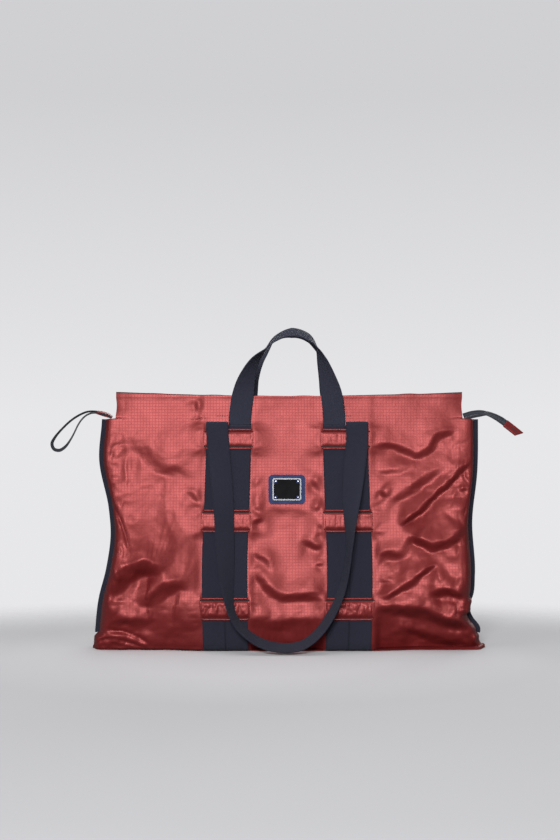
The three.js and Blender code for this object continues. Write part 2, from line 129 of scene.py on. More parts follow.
def through(stops, at):
    """A smooth line through (place, value) stops."""
    places = np.array([s[0] for s in stops], float)
    values = np.array([s[1] for s in stops], float)
    slopes = np.gradient(values, places)
    at = np.clip(at, places[0], places[-1])
    i = np.clip(np.searchsorted(places, at, "right") - 1, 0, len(places) - 2)
    span = places[i + 1] - places[i]
    t = (at - places[i]) / span
    start = (2 * t**3 - 3 * t**2 + 1) * values[i] + (t**3 - 2 * t**2 + t) * span * slopes[i]
    end = (3 * t**2 - 2 * t**3) * values[i + 1] + (t**3 - t**2) * span * slopes[i + 1]
    return start + end


def catmull_rom(points, steps_per_stop):
    """A centripetal Catmull-Rom curve: its points, and the stop number that each one lies at."""
    points = np.asarray(points, float)
    ends = (2 * points[0] - points[1], 2 * points[-1] - points[-2])
    p = np.vstack([ends[0], points, ends[1]])
    out = []
    stops = np.linspace(0, len(points) - 1, (len(points) - 1) * steps_per_stop + 1)
    for s in stops:
        i = min(int(s), len(points) - 2)
        t = s - i
        a, b, c, d = p[i : i + 4]
        k = [max(np.linalg.norm(v) ** 0.5, 1e-6) for v in (b - a, c - b, d - c)]
        m1 = ((b - a) / k[0] - (c - a) / (k[0] + k[1]) + (c - b) / k[1]) * k[1]
        m2 = ((c - b) / k[1] - (d - b) / (k[1] + k[2]) + (d - c) / k[2]) * k[1]
        out.append(b + m1 * t + (3 * (c - b) - 2 * m1 - m2) * t**2 + (2 * (b - c) + m1 + m2) * t**3)
    return np.array(out), stops


def lengths_along(line):
    """How far along a line of points each of them lies."""
    return np.r_[0, np.cumsum(np.linalg.norm(np.diff(line, axis=0), axis=1))]


def directions_along(line):
    forward = np.gradient(line, axis=0)
    return forward / np.linalg.norm(forward, axis=1, keepdims=True)


def noise(u, v, scale, seed):
    """Smooth noise from -1 to 1 on the (u, v) plane, the same on each run."""
    lattice = np.random.default_rng(seed).uniform(-1, 1, (64, 64))
    a, b = u / scale + 100.0, v / scale + 100.0
    i, j = np.floor(a).astype(int), np.floor(b).astype(int)
    s, t = a - i, b - j
    s, t = s**3 * (s * (6 * s - 15) + 10), t**3 * (t * (6 * t - 15) + 10)
    corner = lambda di, dj: lattice[(i + di) % 64, (j + dj) % 64]
    low = lerp(corner(0, 0), corner(1, 0), s)
    high = lerp(corner(0, 1), corner(1, 1), s)
    return lerp(low, high, t)


def crumple(u, v, scale, seed):
    """Facets between sharp folds, as thin cloth takes, from 0 to about 1."""
    wander = 0.35 * scale
    u2 = u + wander * noise(u, v, 1.4 * scale, seed + 1)
    v2 = v + wander * noise(u, v, 1.4 * scale, seed + 2)
    broad = np.abs(noise(u2, v2, scale, seed + 3))
    fine = np.abs(noise(v2, u2, 0.47 * scale, seed + 4))
    return broad + 0.45 * fine


# Meshes

def grid_faces(rows, columns, start=0, flip=False):
    i, j = np.meshgrid(np.arange(rows - 1), np.arange(columns - 1), indexing="ij")
    a = start + i * columns + j
    quads = np.stack([a, a + 1, a + columns + 1, a + columns], -1).reshape(-1, 4)
    return quads[:, ::-1] if flip else quads


def rim_faces(rows, columns, inner_start):
    """The strip of faces that joins the borders of an outer and an inner grid."""
    bottom = np.arange(columns)
    right = np.arange(1, rows) * columns + columns - 1
    top = (rows - 1) * columns + np.arange(columns - 2, -1, -1)
    left = np.arange(rows - 2, -1, -1) * columns
    loop = np.concatenate([bottom, right, top, left])
    a, b = loop[:-1], loop[1:]
    return np.stack([b, a, a + inner_start, b + inner_start], -1)


def shell_faces(rows, columns):
    """The faces of a closed sheet: an outer grid, an inner grid after it, and the rim between them."""
    count = rows * columns
    inner = grid_faces(rows, columns, count, flip=True)
    return np.vstack([grid_faces(rows, columns), inner, rim_faces(rows, columns, count)]).tolist()


def tube_faces(rows, count, flip=False):
    """The walls and the two ends of a tube: rows of closed outlines, each of count points."""
    i, j = np.meshgrid(np.arange(rows - 1), np.arange(count), indexing="ij")
    a, b = i * count + j, i * count + (j + 1) % count
    corners = [b, a, a + count, b + count] if flip else [a, b, b + count, a + count]
    walls = np.stack(corners, -1).reshape(-1, 4).tolist()
    first, last = list(range(count)), list(range((rows - 1) * count, rows * count))
    return walls + ([first, last[::-1]] if flip else [first[::-1], last])


def joined(parts):
    """The points and faces of several (points, faces) as one."""
    points, faces, total = [], [], 0
    for part_points, part_faces in parts:
        points.append(part_points)
        faces += [[i + total for i in face] for face in part_faces]
        total += len(part_points)
    return np.vstack(points), faces


def mesh_piece(name, points, faces, materials, coords=None, slots=None):
    """A smooth-shaded mesh object. coords, one (u, v) in metres for each point, becomes its weave UV map,
    and slots gives the material of each face."""
    coords = np.zeros((len(points), 2)) if coords is None else coords.reshape(-1, 2)
    mesh = bpy.data.meshes.new(name)
    mesh.from_pydata(points.tolist(), [], faces)
    for material in materials:
        mesh.materials.append(material)
    mesh.polygons.foreach_set("use_smooth", [True] * len(mesh.polygons))
    if slots is not None:
        mesh.polygons.foreach_set("material_index", slots)
    corners = np.zeros(len(mesh.loops), int)
    mesh.loops.foreach_get("vertex_index", corners)
    layer = mesh.uv_layers.new(name="weave")
    layer.data.foreach_set("uv", coords[corners].ravel())
    mesh.update()
    piece = bpy.data.objects.new(name, mesh)
    bpy.context.scene.collection.objects.link(piece)
    return piece


def shell_piece(name, outer, inner, coords, materials):
    """A closed sheet from its outer and inner grids, each (rows, columns, 3)."""
    rows, columns = outer.shape[:2]
    points = np.vstack([outer.reshape(-1, 3), inner.reshape(-1, 3)])
    uv = np.vstack([coords.reshape(-1, 2)] * 2)
    return mesh_piece(name, points, shell_faces(rows, columns), materials, uv)


def turned(points):
    """The same points turned half round, from the front to the back."""
    return points * np.array([-1.0, -1.0, 1.0])


def placed(points, is_back):
    return turned(points) if is_back else points


def bevelled(piece, width, segments=3, angle=35):
    """Rounds a piece's hard edges, and keeps its flats flat."""
    bevel = piece.modifiers.new("rounded edges", "BEVEL")
    bevel.width = width
    bevel.segments = segments
    bevel.limit_method = "ANGLE"
    bevel.angle_limit = math.radians(angle)
    bevel.harden_normals = False
    weighted = piece.modifiers.new("flat faces", "WEIGHTED_NORMAL")
    weighted.keep_sharp = True
    return piece


def from_node(name, node, material):
    """A piece with the shape of a CAD node, which it replaces."""
    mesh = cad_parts[node].data.copy()
    mesh.name = name
    mesh.materials.clear()
    mesh.materials.append(material)
    piece = bpy.data.objects.new(name, mesh)
    bpy.context.scene.collection.objects.link(piece)
    welded = piece.modifiers.new("joined points", "WELD")
    welded.merge_threshold = 0.00001
    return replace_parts(piece, node)


# Shape of a face. Every function takes arrays of x and z, seen from the front.

def half_depth_at(z):
    return BASE_HALF_DEPTH - SLOPE * z


def outline_at(side, z):
    return through(LEFT_OUTLINE if side < 0 else RIGHT_OUTLINE, z)


def pair_centre(side, z=STRAP_FOLD):
    """The middle of a pair of webbing bands, which splay apart a little further down."""
    return side * (PAIR_SPACING / 2 + through(PAIR_SPLAY, z)) + PAIR_SHIFT


def cloth_edge_at(side, z, is_back=False):
    """Where the cloth of a face ends at a side: at the binding, and past it below the binding's foot."""
    outline = outline_at(-side if is_back else side, z)
    over_binding = smoothstep(0.016, 0.026, z)
    if side > 0 and not is_back:
        over_binding = over_binding * (1 - smoothstep(0.080, 0.070, z) * smoothstep(0.052, 0.058, z))
    return outline + lerp(0.0004, -0.0070, over_binding)


def nearest_edge(x, z, is_back):
    """Where the cloth ends on the side that x is on."""
    return np.where(x < 0, cloth_edge_at(-1, z, is_back), cloth_edge_at(1, z, is_back))


def body_fullness(x, z, is_back):
    """1 in the flat middle of a face, falling to 0 at the side seams."""
    edge = nearest_edge(x, np.minimum(z, ZIP_HEIGHT), is_back)
    share = np.clip((np.abs(x) - PANEL_HALF_WIDTH) / (edge - PANEL_HALF_WIDTH), 0, 1)
    squareness = 22.0 + 18.0 * smoothstep(0.15, 0.24, z)
    body = (1 - share**squareness) ** 0.85
    collar = 1 - 0.45 * share**6
    return lerp(body, collar, smoothstep(ZIP_HEIGHT + 0.001, ZIP_HEIGHT + 0.022, z))


def face_depth(x, z, is_back=False):
    """How far the smooth cloth stands from the middle plane: rounded under at the base."""
    fullness = body_fullness(x, z, is_back)
    foot = 0.005 * np.clip(1 - z / 0.012, 0, 1) ** 2
    middle_sag = 0.004 * np.exp(-((z - 0.085) / 0.05) ** 2) - 0.012 * np.clip(1 - z / 0.066, 0, 1) ** 2
    side_sag = 0.013 * np.exp(-((z - 0.125) / 0.075) ** 2) - 0.024 * np.clip(1 - z / 0.115, 0, 1) ** 2
    under = foot - lerp(middle_sag, side_sag, smoothstep(0.122, 0.195, np.abs(x)))
    if not is_back:
        under = under + tuck(x, z)
    return SEAM_HALF_DEPTH + (half_depth_at(z) - SEAM_HALF_DEPTH - under) * fullness


def tuck(x, z):
    """How far the cloth low on the front is drawn in under the slack above it: right side and middle."""
    right_top = through([(0.120, 0.067), (0.185, 0.064), (0.213, 0.055), (0.240, 0.047), (0.290, 0.040)], x)
    uneven = 0.005 * noise(x, 0 * x, 0.016, 731)
    right = 0.0210 * np.clip(1 - z / (right_top + uneven), 0, 1) * smoothstep(0.1225, 0.1360, x)
    middle = smoothstep(-0.0600, -0.0500, x) * smoothstep(0.0540, 0.0440, x)
    return right + 0.0125 * np.clip(1 - z / (0.050 + uneven), 0, 1) ** 1.4 * middle


def from_webs(x, z):
    """Distance from the nearer webbing pair's edge."""
    away = np.minimum(np.abs(x - pair_centre(-1, z)), np.abs(x - pair_centre(1, z)))
    return away - WEB_PITCH - 0.001


def beside_webs(x, z, low, high):
    """0 on the webbing pairs, rising to 1 between the two distances from a pair's edge."""
    return smoothstep(low, high, from_webs(x, z))


def bridge_lift(x, z):
    """The cloth beside a bridge, drawn up to the bridge's height."""
    away = from_webs(x, z)
    beside = smoothstep(-0.0022, -0.0002, away) * smoothstep(0.045, 0.0, away) ** 1.5
    level = np.zeros(x.shape)
    for name, low in BRIDGE_LEVELS.items():
        high = low + BRIDGE_HEIGHTS[name]
        level += smoothstep(low - 0.014, low + 0.005, z) * smoothstep(high + 0.014, high - 0.005, z)
    return BRIDGE_END * beside * level


def beside_seams(x, z, is_back):
    edge = np.where(z > ZIP_HEIGHT, COLLAR_HALF_WIDTH, nearest_edge(x, z, is_back))
    near = smoothstep(0.0005, 0.008, edge - np.abs(x))
    return np.where(z > ZIP_HEIGHT, lerp(0.5, 1, near), near)


def beside_plate(x, z):
    away = np.maximum(np.abs(x - PLATE_CENTRE[0]) - 0.027, np.abs(z - PLATE_CENTRE[1]) - 0.022)
    return smoothstep(0.0005, 0.012, away)


# Folds: each runs from left to right through its stops. Across it the cloth steps out above and in
# below, so the fold itself tips down; a negative depth tips it up.

def along_stops(stops, x, z):
    """Signed distance from the line through the stops, above it positive, and how far along, 0 to 1."""
    line, _ = catmull_rom(stops, 8)
    lengths = lengths_along(line)
    best = np.full(x.shape, 1e9)
    signed = np.zeros(x.shape)
    share = np.zeros(x.shape)
    for k in range(len(line) - 1):
        a, d = line[k], line[k + 1] - line[k]
        squared = d @ d
        t = np.clip(((x - a[0]) * d[0] + (z - a[1]) * d[1]) / squared, 0, 1)
        dx, dz = x - a[0] - t * d[0], z - a[1] - t * d[1]
        far = dx * dx + dz * dz
        side = np.sign(d[0] * dz - d[1] * dx)
        closer = far < best
        best = np.where(closer, far, best)
        signed = np.where(closer, side * np.sqrt(far), signed)
        share = np.where(closer, (lengths[k] + t * math.sqrt(squared)) / lengths[-1], share)
    return signed, share


def swell(share, ends=0.25):
    """Runs in from nothing and out to nothing along a fold."""
    return smoothstep(0, ends, share) * smoothstep(0, ends, 1 - share)


def fold(x, z, stops, width, depth, ends=0.42):
    away, share = along_stops(stops, x, z)
    full = swell(share, ends)
    away = away + 0.0016 * noise(x, z, 0.011, 611) + 0.0007 * noise(x, z, 0.0045, 612)
    t = away / (width * lerp(0.55, 1, full))
    uneven = 1 + 0.35 * noise(x, z, 0.024, 613)
    step = lerp(2 * smoothstep(-1, 1, t) - 1, np.clip(t, -1, 1), 0.6)
    return FOLD_STRENGTH * uneven * depth * full * step * np.exp(-(t / 3.4) ** 2)


def crease(x, z, stops, width, depth, ends=0.25):
    """A narrow valley, or a ridge where depth is negative."""
    away, share = along_stops(stops, x, z)
    full = swell(share, ends)
    t = away / (width * lerp(0.6, 1, full))
    return -depth * full * np.exp(-np.abs(t) ** 1.4)


def bulge(x, z, centre, size, height):
    t = ((x - centre[0]) / size[0]) ** 2 + ((z - centre[1]) / size[1]) ** 2
    return height * np.exp(-t)


def slit_puckers(x, z, seed):
    """Short wrinkles that fan out from the ends of each bridge."""
    total = np.zeros(x.shape)
    rng = np.random.default_rng(seed)
    for side in (-1, 1):
        for end in (-1, 1):
            for name, level in BRIDGE_LEVELS.items():
                for height in (level, level + BRIDGE_HEIGHTS[name]):
                    turns, phase = rng.uniform(4, 7), rng.uniform(0, 2 * math.pi)
                    reach = rng.uniform(0.009, 0.015)
                    dx = (x - pair_centre(side, z)) * end - WEB_PITCH - 0.002
                    dz = z - height
                    far = np.hypot(dx, dz)
                    fan = np.cos(turns * np.arctan2(dz, np.maximum(dx, 1e-5)) + phase)
                    near = smoothstep(0.001, 0.006, far) * np.exp(-(far / reach) ** 1.5)
                    total += 0.0006 * fan * near * (dx > 0)
    return total


def gathers(x, z, low, high, left, right, pitch, height, seed):
    """Small upright pleats between two heights."""
    wander = 0.35 * noise(x, z, 0.02, seed)
    inside = smoothstep(left, left + 0.012, x) * smoothstep(right, right - 0.012, x)
    upright = smoothstep(low, lerp(low, high, 0.35), z) * smoothstep(high, lerp(high, low, 0.35), z)
    strength = 0.6 + 0.4 * noise(x, z * 0.2, 0.018, seed + 1)
    return height * strength * np.sin(2 * math.pi * (x / pitch + wander)) * inside * upright


def front_folds(x, z):
    """The folds of the front, from the left side to the right."""
    f = lambda *a, **k: fold(x, z, *a, **k)
    c = lambda *a, **k: crease(x, z, *a, **k)
    left = (
        f([(-0.252, 0.320), (-0.224, 0.301), (-0.190, 0.273), (-0.168, 0.263), (-0.128, 0.257)],
            0.0125, 0.0018)
        + f([(-0.156, 0.238), (-0.143, 0.228), (-0.127, 0.211)], 0.0045, 0.0013)
        + c([(-0.270, 0.263), (-0.264, 0.222), (-0.248, 0.192), (-0.230, 0.140)], 0.0026, 0.0045)
        + f([(-0.265, 0.186), (-0.258, 0.162), (-0.252, 0.138)], 0.0036, 0.0022)
        + f([(-0.268, 0.132), (-0.257, 0.118), (-0.250, 0.096)], 0.0040, 0.0024)
        + c([(-0.277, 0.100), (-0.268, 0.080), (-0.274, 0.055)], 0.0026, 0.0032)
        + f([(-0.275, 0.075), (-0.252, 0.100), (-0.231, 0.117), (-0.205, 0.123), (-0.178, 0.113)],
            0.0145, 0.0080, ends=0.3)
        + f([(-0.226, 0.060), (-0.191, 0.086), (-0.160, 0.098), (-0.138, 0.078)], 0.0120, 0.0036)
        + f([(-0.276, 0.036), (-0.244, 0.043), (-0.209, 0.043), (-0.189, 0.048)], 0.0060, 0.0024)
        + f([(-0.214, 0.181), (-0.194, 0.161), (-0.131, 0.129)], 0.0080, 0.0007)
        + c([(-0.276, 0.032), (-0.240, 0.027), (-0.214, 0.015), (-0.201, 0.004)], 0.0026, 0.0052)
        + c([(-0.290, 0.012), (-0.262, 0.018), (-0.236, 0.012), (-0.212, 0.004)], 0.0020, 0.0040)
        + bulge(x, z, (-0.262, 0.021), (0.030, 0.007), 0.0030)
        + f([(-0.140, 0.372), (-0.136, 0.350)], 0.0035, -0.0010)
        + f([(-0.136, 0.350), (-0.128, 0.335)], 0.0040, 0.0008)
    )
    right = (
        f([(0.123, 0.301), (0.147, 0.301), (0.178, 0.292), (0.190, 0.287), (0.207, 0.295),
           (0.218, 0.313), (0.251, 0.326)], 0.0062, 0.0019, ends=0.15)
        + f([(0.121, 0.265), (0.161, 0.264), (0.184, 0.276)], 0.0045, 0.0010)
        + f([(0.136, 0.208), (0.161, 0.225), (0.196, 0.247), (0.220, 0.263), (0.245, 0.273)], 0.0085, 0.0022)
        + f([(0.160, 0.180), (0.174, 0.190), (0.195, 0.209), (0.226, 0.237), (0.254, 0.264), (0.269, 0.283)],
            0.0046, 0.0046, ends=0.18)
        + c([(0.230, 0.252), (0.250, 0.265), (0.262, 0.262)], 0.0018, 0.0012)
        + f([(0.247, 0.240), (0.256, 0.236), (0.264, 0.241)], 0.0050, 0.0022)
        + f([(0.130, 0.238), (0.146, 0.223)], 0.0050, 0.0014)
        + f([(0.177, 0.173), (0.191, 0.161), (0.207, 0.154), (0.224, 0.156), (0.239, 0.162), (0.252, 0.173),
             (0.262, 0.183)], 0.0074, 0.0045, ends=0.15)
        + f([(0.125, 0.118), (0.140, 0.139), (0.160, 0.142), (0.186, 0.143)], 0.0075, 0.0022)
        + f([(0.126, 0.103), (0.155, 0.105)], 0.0030, 0.0008)
        + f([(0.131, 0.076), (0.150, 0.084), (0.169, 0.094), (0.189, 0.109), (0.210, 0.126), (0.220, 0.128)],
            0.0050, 0.0034, ends=0.2)
        + f([(0.202, 0.084), (0.226, 0.089), (0.240, 0.086), (0.258, 0.077)], 0.0064, 0.0050, ends=0.3)
        + f([(0.118, 0.060), (0.165, 0.061), (0.203, 0.053), (0.231, 0.043), (0.276, 0.036)],
            0.0090, 0.0050, ends=0.2)
        + f([(0.140, 0.024), (0.185, 0.026), (0.212, 0.016), (0.240, 0.010), (0.276, 0.013)],
            0.0070, 0.0030, ends=0.3)
        + bulge(x, z, (0.232, 0.025), (0.034, 0.007), 0.0022)
        + f([(0.244, 0.063), (0.262, 0.065), (0.275, 0.061)], 0.0030, -0.0016)
        + f([(0.248, 0.047), (0.266, 0.045), (0.277, 0.046)], 0.0030, -0.0018)
        + c([(0.277, 0.046), (0.282, 0.030), (0.274, 0.014), (0.283, 0.003)], 0.0034, -0.0050)
        + gathers(x, z, 0.002, 0.050, 0.126, 0.190, 0.0072, 0.0013, 33)
        + bulge(x, z, (0.268, 0.066), (0.012, 0.012), 0.0040)
        + c([(0.236, 0.058), (0.256, 0.055), (0.272, 0.058)], 0.0020, 0.0018)
        + c([(0.252, 0.049), (0.276, 0.040)], 0.0020, 0.0020)
    )
    middle = (
        f([(-0.062, 0.146), (-0.047, 0.141), (-0.034, 0.130), (-0.023, 0.114)], 0.0048, 0.0017)
        + f([(-0.062, 0.118), (-0.046, 0.112), (-0.033, 0.094), (-0.016, 0.081), (0.020, 0.081),
             (0.054, 0.083)],
            0.0074, 0.0023, ends=0.15)
        + f([(0.012, 0.163), (0.026, 0.158), (0.038, 0.152), (0.058, 0.156)], 0.0050, 0.0016)
        + f([(0.036, 0.123), (0.044, 0.127), (0.056, 0.126)], 0.0035, 0.0012)
        + f([(-0.044, 0.213), (0.000, 0.207), (0.046, 0.213)], 0.0125, 0.0011)
        + c([(-0.060, 0.073), (-0.050, 0.066), (-0.046, 0.055)], 0.0026, 0.0018)
        + c([(0.058, 0.074), (0.047, 0.066), (0.040, 0.056)], 0.0026, 0.0018)
        + f([(0.022, 0.255), (0.041, 0.243), (0.058, 0.228)], 0.0060, 0.0015)
        + c([(0.008, 0.262), (0.016, 0.253), (0.024, 0.243)], 0.0020, 0.0010)
        + f([(-0.062, 0.250), (-0.050, 0.238)], 0.0045, 0.0012)
        + f([(-0.064, 0.222), (-0.052, 0.214), (-0.040, 0.203)], 0.0050, 0.0018)
        + f([(0.034, 0.204), (0.048, 0.214), (0.060, 0.224)], 0.0042, 0.0014)
        + f([(0.040, 0.186), (0.052, 0.180), (0.062, 0.174)], 0.0040, 0.0014)
        + f([(-0.060, 0.182), (-0.048, 0.190), (-0.036, 0.196)], 0.0040, 0.0012)
        + f([(-0.052, 0.046), (-0.020, 0.038), (0.010, 0.044), (0.048, 0.040)], 0.0070, 0.0014)
        + gathers(x, z, 0.002, 0.050, -0.055, 0.051, 0.0056, 0.0028, 31)
    )
    return left + right + middle


def back_folds(x, z):
    """The back's folds: the same kinds of fold as the front's, at other places."""
    rng = np.random.default_rng(11)
    total = np.zeros(x.shape)
    for k in range(26):
        across = rng.uniform(0.135, 0.255) * rng.choice([-1, 1]) if k % 4 else rng.uniform(-0.035, 0.035)
        height = rng.uniform(0.035, 0.325)
        reach = rng.uniform(0.018, 0.045) * (1 if k % 4 else 0.6)
        slant = rng.uniform(-0.9, 0.9)
        bow = rng.uniform(-0.010, 0.010)
        stops = [
            (across - reach, height - reach * slant),
            (across, height + bow),
            (across + reach, height + reach * slant),
        ]
        width = rng.uniform(0.0045, 0.0115)
        total += fold(x, z, stops, width, width * rng.uniform(0.22, 0.42))
    return total + gathers(x, z, 0.006, 0.040, -0.046, 0.050, 0.0061, 0.0011, 47)


def wrinkles(x, z, is_back):
    """How far out the cloth's folds lift it."""
    seed = 70 if is_back else 20
    folds = back_folds(x, z) if is_back else front_folds(x, z)
    low = smoothstep(0.13, 0.02, z)
    near_seams = smoothstep(0.215, 0.268, np.abs(x)) * smoothstep(ZIP_HEIGHT, 0.27, z)
    at_sides = smoothstep(0.125, 0.16, np.abs(x)) * smoothstep(0.34, 0.30, z)
    rough = 0.00025 + 0.00035 * at_sides + 0.0011 * low + 0.0028 * near_seams
    fine = rough * (crumple(x, z, 0.021, seed) - 0.45)
    facets = lerp(0.0009, 0.0026, smoothstep(0.17, 0.10, z)) * smoothstep(0.125, 0.16, np.abs(x))
    facets = facets * (crumple(x, z, 0.052, seed + 30) - 0.45) * smoothstep(0.335, 0.29, z)
    broad = 0.0011 * noise(x, z, 0.075, seed + 9) + 0.0007 * noise(x, z, 0.034, seed + 10)
    ragged = 0.0006 * noise(x, z, 0.03, seed + 12) * smoothstep(0.36, 0.38, z)
    hem = 0.0005 * smoothstep(0.371, 0.374, z) + ragged
    foot_roll = 0.0012 * np.exp(-((z - 0.0035) / 0.0016) ** 2)
    total = (folds + fine + facets + broad) * beside_seams(x, z, is_back) + slit_puckers(x, z, seed + 11)
    total = total * beside_webs(x, z, 0.0, 0.011) + bridge_lift(x, z)
    if not is_back:
        total = total * beside_plate(x, z)
    return total + hem + foot_roll * beside_webs(x, z, -0.001, 0.001)


def surface(x, z, out, is_back, wrinkled=False):
    """Points at a distance out from a face's cloth."""
    depth = face_depth(x, z, is_back) + out
    if wrinkled:
        depth = depth + wrinkles(x, z, is_back)
    return placed(np.stack([x, -depth, z + 0 * x], -1), is_back)


def top_edge_at(x, is_back):
    sway = 0.0006 * noise(x, 0 * x, 0.022, 91 if is_back else 81)
    return TOP_HEIGHT - TOP_DIP * (1 - (x / COLLAR_HALF_WIDTH) ** 2) + sway


# Materials

class Shader:
    """A Principled material, with short ways to add and join nodes."""

    def __init__(self, name, colour, roughness, **constants):
        self.material = bpy.data.materials.new(name)
        self.material.use_nodes = True
        self.tree = self.material.node_tree
        self.surface = self.tree.nodes["Principled BSDF"]
        self.surface.inputs["Base Color"].default_value = (*colour, 1)
        self.surface.inputs["Roughness"].default_value = roughness
        for socket, value in constants.items():
            self.surface.inputs[socket.replace("_", " ")].default_value = value
        self.material.diffuse_color = (*colour, 1)

    def node(self, kind, inputs=(), **settings):
        made = self.tree.nodes.new("ShaderNode" + kind)
        for key, value in settings.items():
            setattr(made, key, value)
        for place, value in dict(inputs).items():
            self.join(value, made.inputs[place])
        return made

    def join(self, value, socket):
        if isinstance(value, bpy.types.NodeSocket):
            self.tree.links.new(value, socket)
        else:
            socket.default_value = value

    def math(self, operation, a, b=0.0):
        return self.node("Math", {0: a, 1: b}, operation=operation).outputs[0]

    def weave(self):
        """The u and v of the piece's weave map, in metres."""
        uv = self.node("UVMap", uv_map="weave").outputs[0]
        split = self.node("SeparateXYZ", {0: uv})
        return split.outputs[0], split.outputs[1]

    def place(self):
        return self.node("TexCoord").outputs["Object"]

    def noise(self, scale, detail=3.0, vector=None):
        vector = self.place() if vector is None else vector
        made = self.node("TexNoise", {"Vector": vector, "Scale": scale, "Detail": detail})
        return made.outputs[0]

    def spread(self, value, low, high, from_low=0.0, from_high=1.0, smooth=False):
        inputs = {0: value, 1: from_low, 2: from_high, 3: low, 4: high}
        kind = "SMOOTHSTEP" if smooth else "LINEAR"
        return self.node("MapRange", inputs, interpolation_type=kind).outputs[0]

    def lines(self, value, pitch, half_width):
        """1 on lines at a pitch, 0 between them."""
        away = self.math("PINGPONG", value, pitch / 2)
        return self.spread(away, 1.0, 0.0, half_width * 0.5, half_width, smooth=True)

    def ribs(self, value, pitch):
        return self.math("SINE", self.math("MULTIPLY", value, 2 * math.pi / pitch))

    def colour(self, share, *stops):
        ramp = self.node("ValToRGB", {0: share})
        elements = ramp.color_ramp.elements
        while len(elements) < len(stops):
            elements.new(0.5)
        for element, (at, rgb) in zip(elements, stops):
            element.position = at
            element.color = (*rgb, 1)
        self.join(ramp.outputs[0], self.surface.inputs["Base Color"])
        return ramp

    def roughen(self, value):
        self.join(value, self.surface.inputs["Roughness"])

    def bump(self, height, distance, strength=1.0):
        inputs = {"Height": height, "Distance": distance, "Strength": strength}
        before = self.surface.inputs["Normal"].links
        if before:
            inputs["Normal"] = before[0].from_socket
        made = self.node("Bump", inputs)
        self.join(made.outputs[0], self.surface.inputs["Normal"])


def ripstop(name, dull=0.0):
    """Thin satin nylon with a raised square grid. The specular tint is the yarn's own red."""
    lit, deep = (0.112, 0.0100, 0.0104), (0.070, 0.0060, 0.0064)
    s = Shader(
        name, lit, 0.45, Specular_IOR_Level=1.0 - 0.4 * dull, Specular_Tint=(1.0, 0.272, 0.265, 1),
    )
    u, v = s.weave()
    upright = s.lines(u, RIPSTOP_PITCH, 0.0007)
    level = s.lines(v, RIPSTOP_PITCH, 0.0007)
    grid = s.math("MAXIMUM", upright, level)
    threads = s.math("MULTIPLY", s.ribs(u, 0.0009), s.ribs(v, 0.0009))
    patchy = s.noise(9.0)
    speckle = s.noise(420.0, 2.0)
    tone = s.math("ADD", s.math("MULTIPLY", patchy, 0.55), s.math("MULTIPLY", speckle, 0.35))
    tone = s.math("SUBTRACT", s.math("ADD", tone, 0.12), s.math("MULTIPLY", grid, 0.18))
    s.colour(tone, (0.0, deep), (1.0, lit))
    rough = s.spread(s.noise(60.0), 0.42, 0.49)
    s.roughen(s.math("ADD", s.math("ADD", rough, s.math("MULTIPLY", grid, 0.05)), 0.14 * dull))
    s.bump(s.noise(240.0, 2.0), 0.0004, 0.35)
    s.bump(s.math("ADD", grid, s.math("MULTIPLY", threads, 0.25)), 0.00022, 0.08)
    return s.material


def webbing(name, colour, deep, rib=0.0013, roughness=0.72, selvedge=WEB_WIDTH / 2):
    """Woven webbing: ribs across it, twill lines along it, and a tighter edge."""
    s = Shader(
        name, colour, roughness, Specular_IOR_Level=0.18,
        Sheen_Weight=0.05, Sheen_Roughness=0.5, Sheen_Tint=(0.6, 0.68, 0.9, 1),
    )
    u, v = s.weave()
    ribs = s.ribs(v, rib)
    twill = s.ribs(s.math("ADD", u, s.math("MULTIPLY", v, 0.35)), rib * 1.6)
    warp = s.ribs(u, rib * 0.8)
    cloth = s.math("ADD", ribs, s.math("ADD", s.math("MULTIPLY", twill, 0.45), s.math("MULTIPLY", warp, 0.3)))
    edge = s.spread(s.math("ABSOLUTE", u), 0.0, 1.0, selvedge - 0.0024, selvedge - 0.0012, smooth=True)
    fuzz = s.noise(380.0, 3.0)
    worn = s.spread(s.noise(24.0, 4.0), -0.10, 0.10)
    tone = s.math("ADD", s.spread(cloth, 0.25, 0.75, -1.6, 1.6), s.math("MULTIPLY", fuzz, 0.35))
    tone = s.math("ADD", s.math("SUBTRACT", tone, s.math("MULTIPLY", edge, 0.18)), worn)
    s.colour(tone, (0.15, deep), (1.0, colour))
    s.roughen(s.spread(fuzz, roughness - 0.06, roughness + 0.10))
    s.bump(fuzz, 0.0003, 0.4)
    s.bump(cloth, 0.00030, 1.0)
    return s.material


def woven(name, colour, deep, pitch, roughness=0.8):
    """A plain fine weave, for tape, ribbon, thread and hem."""
    s = Shader(name, colour, roughness, Specular_IOR_Level=0.3, Sheen_Weight=0.15, Sheen_Roughness=0.5)
    place = s.node("SeparateXYZ", {0: s.place()})
    across = s.ribs(s.math("ADD", place.outputs[0], place.outputs[1]), pitch)
    along = s.ribs(s.math("SUBTRACT", place.outputs[2], place.outputs[1]), pitch * 0.8)
    cloth = s.math("MULTIPLY", across, along)
    fuzz = s.noise(520.0, 4.0)
    tone = s.math("ADD", s.spread(cloth, 0.1, 0.6, -1.0, 1.0), s.math("MULTIPLY", fuzz, 0.5))
    s.colour(tone, (0.1, deep), (1.0, colour))
    s.roughen(s.spread(fuzz, roughness - 0.08, min(1.0, roughness + 0.12)))
    s.bump(fuzz, 0.0004, 0.5)
    s.bump(cloth, 0.00015, 0.6)
    return s.material


